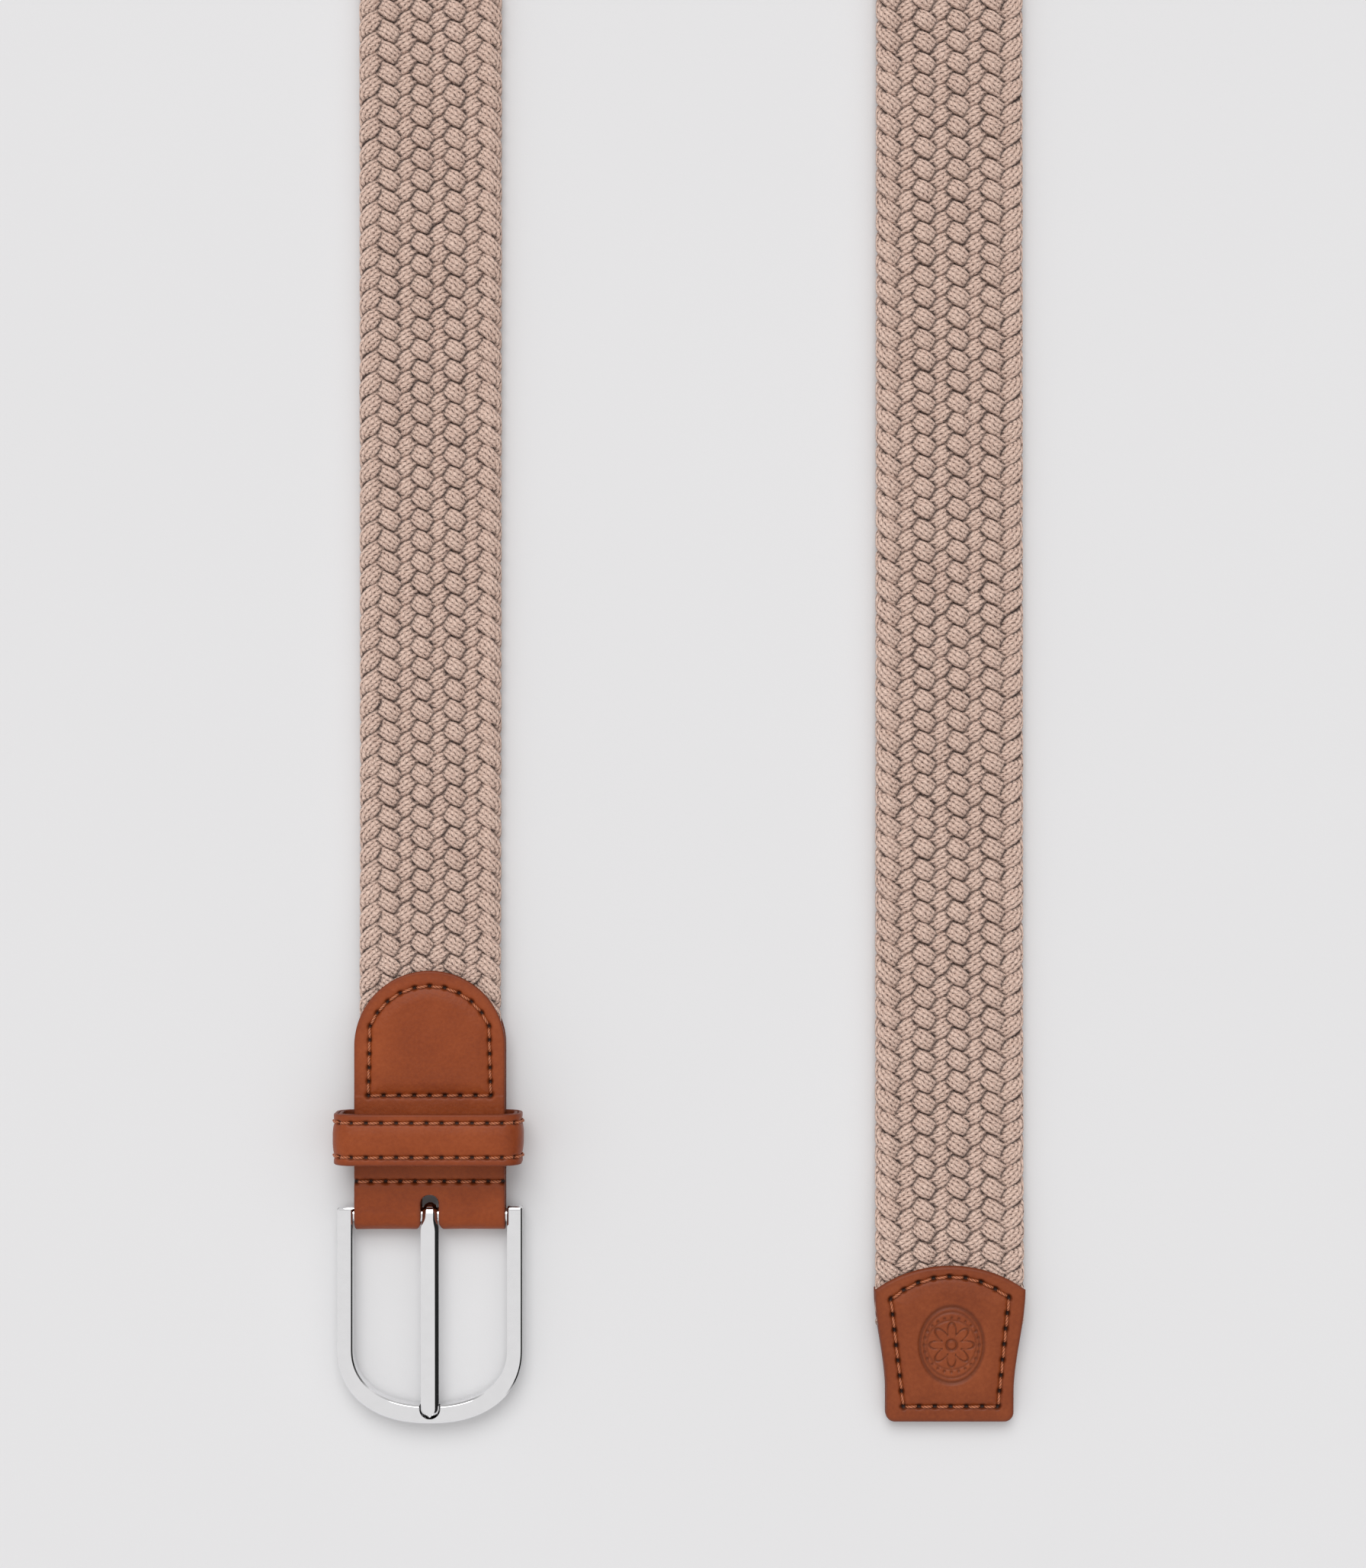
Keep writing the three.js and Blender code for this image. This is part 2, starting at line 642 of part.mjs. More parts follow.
// Lifts the upper face of a slab that was built from 0 to 1 to the heights asked for.
function between(geometry, lowAt, highAt) {
  const p = geometry.getAttribute('position');
  for (let i = 0; i < p.count; i++) {
    p.setZ(i, lerp(lowAt(p.getY(i)), highAt(p.getY(i)), p.getZ(i)));
  }
  return geometry;
}

const tipSeam = () => tipOutline(TIP_SEAM_INSET).points;

function tipFront() {
  const plan = slab(new THREE.Shape(tipOutline(0).points), 0, 1);
  const ply = between(plan, (y) => tipTop(y) - LEATHER, tipTop);
  return cut(ply, frontGroove(tipSeam(), true, tipTop));
}

function tipBack() {
  const plan = slab(new THREE.Shape(tipOutline(0).points), 0, 1);
  const ply = between(plan, () => 0, () => LEATHER);
  return cut(ply, backGroove(tipSeam(), true));
}

function tipCore() {
  const plan = slab(new THREE.Shape(tipOutline(0).points), 0, 1);
  const wedge = between(plan, () => LEATHER + GLUE_GAP, (y) => tipTop(y) - LEATHER - GLUE_GAP);
  const beyond = box([-TIP_SHOULDER, TIP_SHOULDER], [TIP_CORE_TOP, 2 * TIP_LENGTH], [-1, 3 * FOLD_RADIUS]);
  return cut(wedge, beyond);
}

// ---- Assembly -----------------------------------------------------------------------------

const buckleEnd = new THREE.Group();
buckleEnd.position.set(-LEG_X, 0, 0);
buckleEnd.add(
  part('chape_leather', chapeLeather(), tan()),
  part('chape_filler', chapeFiller(), tan()),
  part('chape_d_needle_thread', seamThread(dSeam(), true, chapeTop), thread()),
  part('chape_d_bobbin_thread', seamThread(dSeam(), true, backHeight), thread()),
  part('chape_bar_needle_thread', seamThread(barSeam(), false, chapeTop), thread()),
  part('chape_bar_bobbin_thread', seamThread(barSeam(), false, backHeight), thread()),
  part('buckle_frame', buckleFrame(), chrome()),
  part('buckle_bar', buckleBar(), steel()),
  part('prong', prong(), chrome()),
  part('keeper_outer', keeperPly(0, true), tan()),
  part('keeper_lining', keeperPly(LINING_INSET, false), tan()),
  part('keeper_staple', keeperStaple(), steel()),
  part('keeper_upper_needle_thread', keeperThread(0, KEEPER_SEAM), thread()),
  part('keeper_lower_needle_thread', keeperThread(0, -KEEPER_SEAM), thread()),
  part('keeper_upper_bobbin_thread', keeperThread(LINING_FACE, KEEPER_SEAM), thread()),
  part('keeper_lower_bobbin_thread', keeperThread(LINING_FACE, -KEEPER_SEAM), thread()));

const tailEnd = new THREE.Group();
tailEnd.position.set(LEG_X, TAIL_END_Y, 0);
tailEnd.add(
  part('tip_front', tipFront(), tan()),
  part('tip_back', tipBack(), tan()),
  part('tip_core', tipCore(), tan()),
  part('tip_needle_thread', seamThread(tipSeam(), true, tipTop), thread()),
  part('tip_bobbin_thread', seamThread(tipSeam(), true, backHeight), thread()));

const belt = new THREE.Group();
belt.add(part('braided_strap', strap(), taupe()), buckleEnd, tailEnd);

// The origin is the middle of the belt's box, on the surface that it lies on.
const extent = new THREE.Box3().setFromObject(belt);
belt.position.set(-(extent.min.x + extent.max.x) / 2, -(extent.min.y + extent.max.y) / 2, 0);

export default belt;
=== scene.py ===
"""A braided elastic belt with leather ends, seen from straight above with both ends side by side."""
import math

import bpy
import numpy as np
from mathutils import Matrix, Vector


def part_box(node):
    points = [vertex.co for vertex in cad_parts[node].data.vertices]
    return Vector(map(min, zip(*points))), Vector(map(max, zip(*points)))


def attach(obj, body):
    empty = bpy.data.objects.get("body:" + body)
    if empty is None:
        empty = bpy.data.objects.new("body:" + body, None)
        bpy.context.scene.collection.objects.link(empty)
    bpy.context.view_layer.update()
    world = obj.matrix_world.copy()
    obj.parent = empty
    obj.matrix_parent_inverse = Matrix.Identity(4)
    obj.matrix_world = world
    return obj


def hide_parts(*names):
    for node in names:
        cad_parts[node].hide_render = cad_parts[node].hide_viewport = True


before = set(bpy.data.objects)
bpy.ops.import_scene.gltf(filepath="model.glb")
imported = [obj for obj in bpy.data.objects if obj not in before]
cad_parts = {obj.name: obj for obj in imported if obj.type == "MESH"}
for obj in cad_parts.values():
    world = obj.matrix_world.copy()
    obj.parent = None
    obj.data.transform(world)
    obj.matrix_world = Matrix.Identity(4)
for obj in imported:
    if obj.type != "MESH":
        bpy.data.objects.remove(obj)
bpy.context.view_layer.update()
MM = 0.001

# ---- Sizes in millimetres ----------------------------------------------------------------

# The strap's middle line: two legs, and a bend that flares out, turns and twists onto its edge
LEG_X, TAIL_END_Y, BEND_START_Y = 60.4, -48.3, 291.8
WIDTH_AT_BUCKLE, WIDTH_AT_TAIL, STRAP_THICKNESS = 33.0, 34.8, 4.0
FLARE, FLARE_LENGTH, FLARE_DELAY = math.radians(14), 90.0, 25.0
TURN_LENGTH, TURN_OVERLAP, TWIST_LENGTH = 367.6, 30.0, 125.0
SETTLE_LENGTH, SETTLE_GAP = 27.0, 0.7

# The leather folded round the bar, from the bar's axis
LEATHER, FOLD_RADIUS, CHAPE_HALF, CHAPE_LENGTH = 1.35, 3.0, 17.5, 56.8
HALF_TURN = math.pi * FOLD_RADIUS
ARCH_Y = CHAPE_LENGTH - CHAPE_HALF
SLOT_HALF, SLOT_TOP, SLOT_FLARE = 2.12, 4.9, 0.75
BRAID_START, BRAID_IN_LEATHER, BRAID_END = 25.8, 2.8, 21.0
FILLER_LOW, FILLER_HIGH, GLUE_GAP = 5.6, 9.2, 0.1
D_HALF, D_TAPER, D_SEAM_Y, D_SIDE_TOP, D_ARCH_TOP = 14.2, 0.4, 27.9, 44.0, 53.3
BAR_SEAM_Y, BAR_SEAM_HALF, BAR_THREAD_RADIUS = 8.0, 17.0, 0.34

# The keeper loop
KEEPER_Y, KEEPER_WIDTH, KEEPER_HALF = 18.5, 11.8, 21.65
KEEPER_LOW, KEEPER_HIGH, KEEPER_BEND, KEEPER_PLY = 1.75, 15.0, 4.6, 0.95
KEEPER_SEAM, KEEPER_HOLE_SPACING, KEEPER_BUTT = 3.95, 3.47, 0.12
STAPLE_HALF, STAPLE_RADIUS, STAPLE_BEND = 3.7, 0.28, 0.5

# The leather tip, from the middle of its end
TIP_SHOULDER, TIP_END, TIP_LENGTH, TIP_RISE = 17.5, 14.9, 36.7, 5.7
TIP_CORNER, TIP_TAPER_START = 2.2, 7.0
TIP_END_THICKNESS, TIP_ROOT_THICKNESS, TIP_CORE_TOP = 3.7, 6.2, 20.4
TIP_SHOULDER_Y = TIP_LENGTH - TIP_RISE
TIP_ARCH_RADIUS = (TIP_SHOULDER ** 2 + TIP_RISE ** 2) / (2 * TIP_RISE)
TIP_ARCH_Y = TIP_LENGTH - TIP_ARCH_RADIUS
TIP_SEAM_LEFT, TIP_SEAM_RIGHT, TIP_SEAM_LOW, TIP_SEAM_TOP = -10.8, 11.2, 3.7, 34.2
CORE_INSET = 0.15

# The buckle, from the bar's axis
FRAME_OUTER, FRAME_INNER, FRAME_ARM_TOP, FRAME_BOW_Y = 21.5, 17.9, 2.2, -30.9
FRAME_OUTER_BOW, FRAME_INNER_BOW, FRAME_LOW, FRAME_HIGH = 17.4, 13.2, 0.8, 5.2
BOW_FULLNESS, ARM_END_ROUND = 2.25, 0.9
BAR_RADIUS, BAR_IN_ARM, BAR_CHAMFER = 1.4, 1.8, 0.2
SOCKET_PLAY, SOCKET_DEEPER = 0.25, 0.3
NOTCH_FLOOR, NOTCH_HALF, NOTCH_LOW_Y, NOTCH_OPEN_Y = 3.3, 2.38, -47.25, -42.0
PRONG_TIP_Y, PRONG_HALF, PRONG_BEVEL, ROOT_HALF = -46.9, 2.12, 0.92, 1.72
PRONG_TIP_TOP, PRONG_THICKNESS, PRONG_DROOP = 5.6, 2.0, 0.5
CURL_OUTER, CURL_INNER = 2.95, 1.65

# Sewing
STITCH_RADIUS, STITCH_LIFT, STITCH_SLANT = 0.3, 0.32, 0.07
HOLE_SHARE = 0.11
THREAD_SUNK, TIP_THREAD_SUNK, BACK_THREAD = 0.22, 0.26, 0.25

# Where a cord crosses another: height, half width, half thickness, waist after it and steepness. The
# cords that lean one way ride high on the front, and those that lean the other way on the back.
CORDS, CORD_STEP, COLUMN = 9, 2.47, 3.84
HIGH_CROSSING = 1.30, 2.00, 0.96, 0.21, 0.22
LOW_CROSSING = 0.76, 2.11, 0.90, 0.08, 0.1
HIDDEN_CROSSING = -1.30, 2.4, 0.96, 0.08, 0.22
BURIED_CROSSING = -0.76, 2.6, 0.85, 0.21, 0.1
EDGE_CROSSING = 0.0, 1.9, 1.3, 0.0, 0.0
EDGE_PLACE, EDGE_LIMIT, EDGE_SOFTNESS = 3.5 * COLUMN + 1.9, 16.7, 0.5
LANES_WIDTH, PRESSED, LOOSENESS = 33.5, 0.91, 0.08
REPEAT, SAMPLES, CORD_SIDES, CORD_SQUARENESS = 2 * CORDS, 8, 20, 0.9
KNIT_COLUMN, KNIT_PITCH = 2.1, 0.95
# Clearances to the next cord at which the painted shade between the cords is full and at which it is gone
CREVICE_START, CREVICE_END = 0.10, 0.33


def centre_mm(node):
    low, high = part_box(node)
    return (np.array(low) + np.array(high)) / 2 / MM


BUCKLE_END = centre_mm("buckle_bar") * [1, 1, 0]
TAIL_END = np.array([centre_mm("tip_front")[0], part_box("tip_front")[0][1] / MM, 0])

# ---- Meshes ------------------------------------------------------------------------------


def signed_volume(points, quads):
    a, b, c, d = (points[quads[:, i]] for i in range(4))
    first = np.einsum("ij,ij->", a, np.cross(b, c))
    return first + np.einsum("ij,ij->", a, np.cross(c, d))


def new_object(name, shape, material, origin=(0, 0, 0), marks=None, uv=None, crease=None):
    """A smooth mesh of quads in millimetres round an origin, with its faces turned outward."""
    points, quads = np.asarray(shape[0], float), np.asarray(shape[1], np.int32)
    if signed_volume(points, quads) < 0:
        quads = quads[:, ::-1]
        uv = None if uv is None else uv[:, ::-1]
    mesh = bpy.data.meshes.new(name)
    mesh.vertices.add(len(points))
    mesh.vertices.foreach_set("co", (points * MM).astype(np.float32).ravel())
    mesh.loops.add(quads.size)
    mesh.loops.foreach_set("vertex_index", quads.ravel())
    mesh.polygons.add(len(quads))
    mesh.polygons.foreach_set("loop_start", np.arange(0, quads.size, 4, dtype=np.int32))
    mesh.update(calc_edges=True)
    if uv is not None:
        layer = mesh.uv_layers.new(name="strand")
        layer.data.foreach_set("uv", np.asarray(uv, np.float32).ravel())
    for label, values in (marks or {}).items():
        attribute = mesh.attributes.new(label, "FLOAT", "POINT")
        attribute.data.foreach_set("value", np.asarray(values, np.float32).ravel())
    mesh.polygons.foreach_set("use_smooth", np.ones(len(quads), bool))
    if crease:
        mesh.set_sharp_from_angle(angle=math.radians(crease))
    mesh.validate()
    obj = bpy.data.objects.new(name, mesh)
    obj.location = [float(v) * MM for v in origin]
    bpy.context.scene.collection.objects.link(obj)
    mesh.materials.append(material)
    return obj


def add_piece(obj, body, node):
    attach(obj, body)
    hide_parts(node)


def apply_modifiers(obj):
    graph = bpy.context.evaluated_depsgraph_get()
    mesh = bpy.data.meshes.new_from_object(obj.evaluated_get(graph))
    obj.modifiers.clear()
    obj.data = mesh


def weld(obj):
    """Joins vertices that share a place."""
    modifier = obj.modifiers.new("weld", "WELD")
    modifier.merge_threshold = 2e-7
    apply_modifiers(obj)


def cut_away(obj, cutters):
    for cutter in cutters:
        modifier = obj.modifiers.new("cut", "BOOLEAN")
        modifier.operation, modifier.solver, modifier.object = "DIFFERENCE", "EXACT", cutter
    apply_modifiers(obj)
    obj.data.polygons.foreach_set("use_smooth", np.ones(len(obj.data.polygons), bool))
    obj.data.set_sharp_from_angle(angle=math.radians(14))
    for cutter in cutters:
        bpy.data.objects.remove(cutter)


def grid_quads(rows, columns, start=0, wrap=False):
    spans = columns if wrap else columns - 1
    r, c = np.meshgrid(np.arange(rows - 1), np.arange(spans), indexing="ij")
    near, far = r * columns + c, r * columns + (c + 1) % columns
    return np.stack([near, far, far + columns, near + columns], -1).reshape(-1, 4) + start


def strip_quads(first, second):
    """A band of faces between two equally long runs of vertices."""
    return np.stack([first[:-1], first[1:], second[1:], second[:-1]], -1)


def pillow(top, low, wall_rows=slice(None)):
    """A closed skin from an upper and a lower grid. The first columns meet in a wall at wall_rows."""
    rows, columns = top.shape[:2]
    count = rows * columns
    upper = np.arange(count).reshape(rows, columns)
    lower = upper + count
    quads = [grid_quads(rows, columns), grid_quads(rows, columns, count)[:, ::-1],
             strip_quads(lower[:, 0], upper[:, 0])[:, ::-1][wall_rows],
             strip_quads(lower[:, -1], upper[:, -1]),
             strip_quads(lower[0], upper[0]),
             strip_quads(lower[-1], upper[-1])[:, ::-1]]
    points = np.concatenate([top.reshape(-1, 3), low.reshape(-1, 3)])
    return points, np.concatenate(quads)


def end_caps(count, size):
    """Fans of quads that close the first and last ring of a sweep."""
    caps = []
    for start, flip in ((0, 1), ((count - 1) * size, -1)):
        for j in range(size // 2 - 1):
            quad = [start + j, start + j + 1, start + size - 2 - j, start + size - 1 - j]
            caps.append(quad[::flip])
    return np.array(caps)


def sweep(rings):
    """Points and faces of a tube through rings (stations, points, 3), closed at both ends."""
    count, size = rings.shape[:2]
    quads = np.concatenate([grid_quads(count, size, wrap=True), end_caps(count, size)[:, ::-1]])
    return rings.reshape(-1, 3), quads


def sweep_uv(u0, u1, v, size):
    """Face corners of a sweep: u0 and u1 at the sides of each face, v along the rings."""
    pairs = [(u0[:-1], v[:-1]), (u1[:-1], v[:-1]), (u1[1:], v[1:]), (u0[1:], v[1:])]
    corners = np.stack([np.stack(pair, -1) for pair in pairs], 2).reshape(-1, 4, 2)
    return np.concatenate([corners, np.zeros((2 * (size // 2 - 1), 4, 2))])


def round_section(centres, across, up, size):
    """Rings of points round centres. Across and up hold the half sizes and directions."""
    angle = np.linspace(0, 2 * math.pi, size, endpoint=False)[:, None]
    return centres[:, None] + across * np.cos(angle) + up * np.sin(angle)


def smooth(t):
    t = np.clip(t, 0, 1)
    return t * t * (3 - 2 * t)


def bell(distance, reach):
    return np.exp(-(distance / reach) ** 2)


def unit(v):
    return v / np.maximum(np.linalg.norm(v, axis=-1, keepdims=True), 1e-9)


def at(s, table, values):
    """Values at s, which are single numbers or rows of numbers along a table."""
    if values.ndim == 1:
        return np.interp(s, table, values)
    return np.stack([np.interp(s, table, values[:, i]) for i in range(values.shape[1])], -1)


def lengths_along(path):
    return np.concatenate([[0], np.cumsum(np.linalg.norm(np.diff(path, axis=0), axis=1))])


def edge_drop(distance, radius):
    """How far a rounded edge lies below its face at a distance in from the outline."""
    reach = np.clip(radius - distance, 0, radius)
    return radius - np.sqrt(np.maximum(radius ** 2 - reach ** 2, 0))


# A falloff in from an edge: darker cut edges and, along the buckle slot, painted shade
def wear_and_shade(edge, reach):
    return np.exp(-np.maximum(edge, 0) / reach)


def segment_distance(x, y, path):
    """Distance from plan points to a polyline."""
    best = np.full(np.shape(x), 1e9)
    for (ax, ay), (bx, by) in zip(path[:-1], path[1:]):
        dx, dy = bx - ax, by - ay
        t = np.clip(((x - ax) * dx + (y - ay) * dy) / (dx * dx + dy * dy), 0, 1)
        best = np.minimum(best, np.hypot(x - ax - t * dx, y - ay - t * dy))
    return best


def inside(x, y, path):
    """Even-odd test of plan points against a closed polyline."""
    result = np.zeros(np.shape(x), bool)
    for (ax, ay), (bx, by) in zip(path[:-1], path[1:]):
        crosses = (ay > y) != (by > y)
        with np.errstate(divide="ignore", invalid="ignore"):
            result ^= crosses & (x < (bx - ax) * (y - ay) / (by - ay) + ax)
    return result


def ripple(x, y, seed, wavelength):
    """A soft random surface from a few sine waves."""
    rng = np.random.default_rng(seed)
    waves = 7
    total = np.zeros(np.shape(x))
    for _ in range(waves):
        angle, phase = rng.uniform(0, 2 * math.pi, 2)
        k = 2 * math.pi / (wavelength * rng.uniform(0.7, 1.6))
        total = total + np.sin(k * (x * math.cos(angle) + y * math.sin(angle)) + phase)
    return total / waves


# ---- Materials ---------------------------------------------------------------------------


def srgb(*channels):
    shares = [value / 255 for value in channels]
    return (*(v / 12.92 if v <= 0.04045 else ((v + 0.055) / 1.055) ** 2.4 for v in shares), 1)


def grey(level):
    return (level, level, level, 1)


class Nodes:
    """A short way to write a node tree."""

    def __init__(self, tree):
        self.tree = tree

    def node(self, kind, **settings):
        node = self.tree.nodes.new(kind)
        for key, value in settings.items():
            setattr(node, key, value)
        return node

    def link(self, value, socket):
        if isinstance(value, bpy.types.NodeSocket):
            self.tree.links.new(value, socket)
        else:
            socket.default_value = value

    def math(self, operation, a, b=0.0):
        node = self.node("ShaderNodeMath", operation=operation)
        self.link(a, node.inputs[0])
        self.link(b, node.inputs[1])
        return node.outputs[0]

    def plus(self, a, b):
        return self.math("ADD", a, b)

    def minus(self, a, b):
        return self.math("SUBTRACT", a, b)

    def times(self, a, b):
        return self.math("MULTIPLY", a, b)

    def power(self, a, b):
        return self.math("POWER", a, b)

    def coordinates(self, kind):
        return self.node("ShaderNodeTexCoord").outputs[kind]

    def split(self, vector):
        node = self.node("ShaderNodeSeparateXYZ")
        self.link(vector, node.inputs[0])
        return node.outputs

    def ramp(self, value, *stops):
        node = self.node("ShaderNodeValToRGB")
        elements = node.color_ramp.elements
        while len(elements) < len(stops):
            elements.new(0.5)
        for element, (position, colour) in zip(elements, stops):
            element.position = position
            element.color = colour
        self.link(value, node.inputs["Fac"])
        return node.outputs["Color"]

    def mix(self, factor, a, b):
        node = self.node("ShaderNodeMix", data_type="RGBA")
        for value, socket in zip((factor, a, b), (node.inputs["Factor"], node.inputs[6], node.inputs[7])):
            self.link(value, socket)
        return node.outputs[2]


class Surface(Nodes):
    """The nodes of one material."""

    def __init__(self, name):
        self.material = bpy.data.materials.new(name)
        self.material.use_nodes = True
        super().__init__(self.material.node_tree)

    def attribute(self, name):
        return self.node("ShaderNodeAttribute", attribute_name=name).outputs["Fac"]

    def strand(self):
        """How far round and how far along a strand."""
        return self.split(self.node("ShaderNodeUVMap", uv_map="strand").outputs[0])[:2]

    def noise(self, scale, detail=3.0, roughness=0.55):
        node = self.node("ShaderNodeTexNoise")
        self.link(self.coordinates("Object"), node.inputs["Vector"])
        for key, value in (("Scale", scale), ("Detail", detail), ("Roughness", roughness)):
            node.inputs[key].default_value = value
        return node.outputs["Fac"]

    def cells(self, scale, feature="F1"):
        node = self.node("ShaderNodeTexVoronoi", feature=feature)
        self.link(self.coordinates("Object"), node.inputs["Vector"])
        node.inputs["Scale"].default_value = scale
        return node.outputs["Distance"]

    def bump(self, height, distance, strength=1.0, after=None):
        node = self.node("ShaderNodeBump")
        self.link(height, node.inputs["Height"])
        node.inputs["Distance"].default_value = distance
        node.inputs["Strength"].default_value = strength
        if after is not None:
            self.link(after, node.inputs["Normal"])
        return node.outputs["Normal"]

    def finish(self, colour, roughness, normal, **constants):
        base = self.tree.nodes["Principled BSDF"]
        self.link(colour, base.inputs["Base Color"])
        self.link(roughness, base.inputs["Roughness"])
        self.link(normal, base.inputs["Normal"])
        for name, value in constants.items():
            base.inputs[name.replace("_", " ")].default_value = value
        return self.material


def leather_material(name, dark, middle, light):
    """Smooth leather, darker at its cut edges, with partly painted shade at the buckle slot's lip and painted
    shade in its needle holes.
    """
    s = Surface(name)
    fine = s.noise(1100, 3, 0.6)
    mixed = s.plus(s.times(s.noise(70, 3, 0.5), 0.6), s.times(fine, 0.4))
    tan = s.ramp(mixed, (0.30, dark), (0.50, middle), (0.72, light))
    # The 'edge' mark darkens cut edges and inner faces; along the buckle slot's lip it is also painted shade
    shaded = s.mix(s.times(s.attribute("edge"), 0.65), tan, srgb(98, 40, 20))
    # The 'hole' mark paints near-black shade into the needle holes; on the tip it also darkens the pressed
    # ornament's lines
    hole_shaded = s.mix(s.attribute("hole"), shaded, srgb(22, 8, 5))
    creases = s.math("MINIMUM", s.cells(520, "DISTANCE_TO_EDGE"), 0.25)
    grain = s.bump(s.cells(1500), 0.00006, 0.5)
    grain = s.bump(creases, 0.00018, 0.3, grain)
    grain = s.bump(s.noise(220, 3), 0.00015, 0.25, grain)
    return s.finish(hole_shaded, s.plus(0.36, s.times(fine, 0.2)), grain, Specular_IOR_Level=0.28)


def cord_material():
    """A knitted tube: columns of V stitches round a rubber core, with painted shade down between the cords
    and in the gaps between its stitches.
    """
    s = Surface("taupe_knit")
    around, along = s.strand()
    wobble = s.times(s.minus(s.noise(1100, 2), 0.5), 0.9)
    column = s.math("FRACT", s.plus(around, s.times(wobble, 0.5)))
    side = s.math("ABSOLUTE", s.minus(column, 0.5))
    phase = s.math("FRACT", s.plus(s.plus(along, wobble), s.times(side, 1.5)))
    leg = s.math("SINE", s.times(phase, math.pi))
    body = s.math("ABSOLUTE", s.math("SINE", s.times(side, 2 * math.pi)))
    gap = s.power(s.minus(1.0, body), 1.5)
    dash = s.times(gap, s.plus(0.15, s.times(s.power(leg, 1.5), 0.85)))
    crease = s.times(s.minus(1.0, s.power(leg, 0.5)), 0.45)
    knit = s.minus(s.minus(1.0, dash), crease)
    height = s.plus(knit, s.times(s.noise(1500, 3), 0.5))
    # The yarn's colour follows the stitch height: darker in the stitch gaps as painted shade and lighter on
    # the stitch tops as painted highlight, with random flecks mixed in
    flecks_and_stitch_shade = s.plus(s.times(height, 0.60), s.times(s.noise(160, 3), 0.2))
    yarn = s.ramp(flecks_and_stitch_shade, (0.30, srgb(84, 50, 38)), (0.54, srgb(198, 166, 150)), (0.92, srgb(233, 205, 189)))
    # The 'deep' mark paints the cords near-black where they run down between one another: painted shade
    colour = s.mix(s.times(s.attribute("deep"), 0.96), yarn, srgb(40, 16, 9))
    return s.finish(colour, 0.85, s.bump(height, 0.00045), Sheen_Weight=0.15, Sheen_Roughness=0.5)


def thread_material():
    """Twisted and waxed, with painted shade as dark lines between its plies."""
    s = Surface("waxed_thread")
    around, along = s.strand()
    ply = s.math("ABSOLUTE", s.math("SINE", s.times(s.plus(around, along), math.pi)))
    # The dark end of this ramp is painted shade in the grooves between the plies
    colour = s.ramp(ply, (0.1, srgb(96, 44, 22)), (0.6, srgb(168, 92, 55)), (1.0, srgb(196, 118, 78)))
    return s.finish(colour, 0.55, s.bump(ply, 0.00012, 0.7))


def metal_material(name, colour, roughness, scratch):
    s = Surface(name)
    haze = s.noise(400, 4)
    tone = s.mix(haze, colour, tuple(0.93 * c for c in colour[:3]) + (1,))
    rough = s.plus(roughness, s.times(haze, scratch))
    return s.finish(tone, rough, s.bump(s.noise(60, 2), 0.0002, 0.06), Metallic=1.0)


def floor_material():
    s = Surface("pale_paper")
    tone = s.mix(s.noise(9, 3), srgb(224, 224, 225), srgb(226, 226, 227))
    return s.finish(tone, 0.9, s.bump(s.noise(2500, 2), 0.00005, 0.3))


TAN = leather_material("tan_leather", srgb(126, 53, 17), srgb(141, 63, 22), srgb(154, 73, 30))
TIP_TAN = leather_material("tip_leather", srgb(116, 50, 18), srgb(132, 61, 25), srgb(146, 72, 34))
DARK_TAN = leather_material("inner_leather", srgb(104, 48, 25), srgb(124, 62, 35), srgb(140, 74, 45))
KNIT = cord_material()
THREAD = thread_material()
CHROME = metal_material("chrome", (0.92, 0.92, 0.93, 1), 0.05, 0.05)
STEEL = metal_material("steel", (0.62, 0.62, 0.63, 1), 0.25, 0.15)

# ---- The strap's route and its nine cords --------------------------------------------------

TURN_START = FLARE_DELAY + FLARE_LENGTH - TURN_OVERLAP
BEND_LENGTH = 2 * TURN_START + TURN_LENGTH
LEG_LENGTH = BEND_START_Y - BRAID_START
TOTAL_LENGTH = LEG_LENGTH + BEND_LENGTH + BEND_START_Y - TAIL_END_Y - BRAID_END


def heading(u):
    turn = (math.pi + 2 * FLARE) * smooth((u - TURN_START) / TURN_LENGTH)
    out = smooth((u - FLARE_DELAY) / FLARE_LENGTH)
    back = smooth((u - BEND_LENGTH + FLARE_DELAY + FLARE_LENGTH) / FLARE_LENGTH)
    return turn - FLARE * (out + back)


def lean(u):
    return math.pi / 2 * np.minimum(smooth(u / TWIST_LENGTH), smooth((BEND_LENGTH - u) / TWIST_LENGTH))


def tip_top(y):
    return TIP_END_THICKNESS + (TIP_ROOT_THICKNESS - TIP_END_THICKNESS) * y / TIP_LENGTH


def settle_height(distance, height_in, thickness_in):
    """Centre height and thickness of the flat strap at a distance outside the leather."""
    t = smooth(distance / SETTLE_LENGTH)
    thickness = thickness_in + (STRAP_THICKNESS - thickness_in) * t
    return height_in + (STRAP_THICKNESS / 2 - height_in) * t, thickness


def bend_points(u):
    """Places on the bend, summed up in small steps."""
    fine = np.linspace(0, BEND_LENGTH, 1601)
    turn = heading((fine[1:] + fine[:-1]) / 2)
    x, y = (np.concatenate([[0], np.cumsum(part * fine[1])]) for part in (np.sin(turn), np.cos(turn)))
    return np.interp(u, fine, x) - LEG_X, np.interp(u, fine, y) + BEND_START_Y


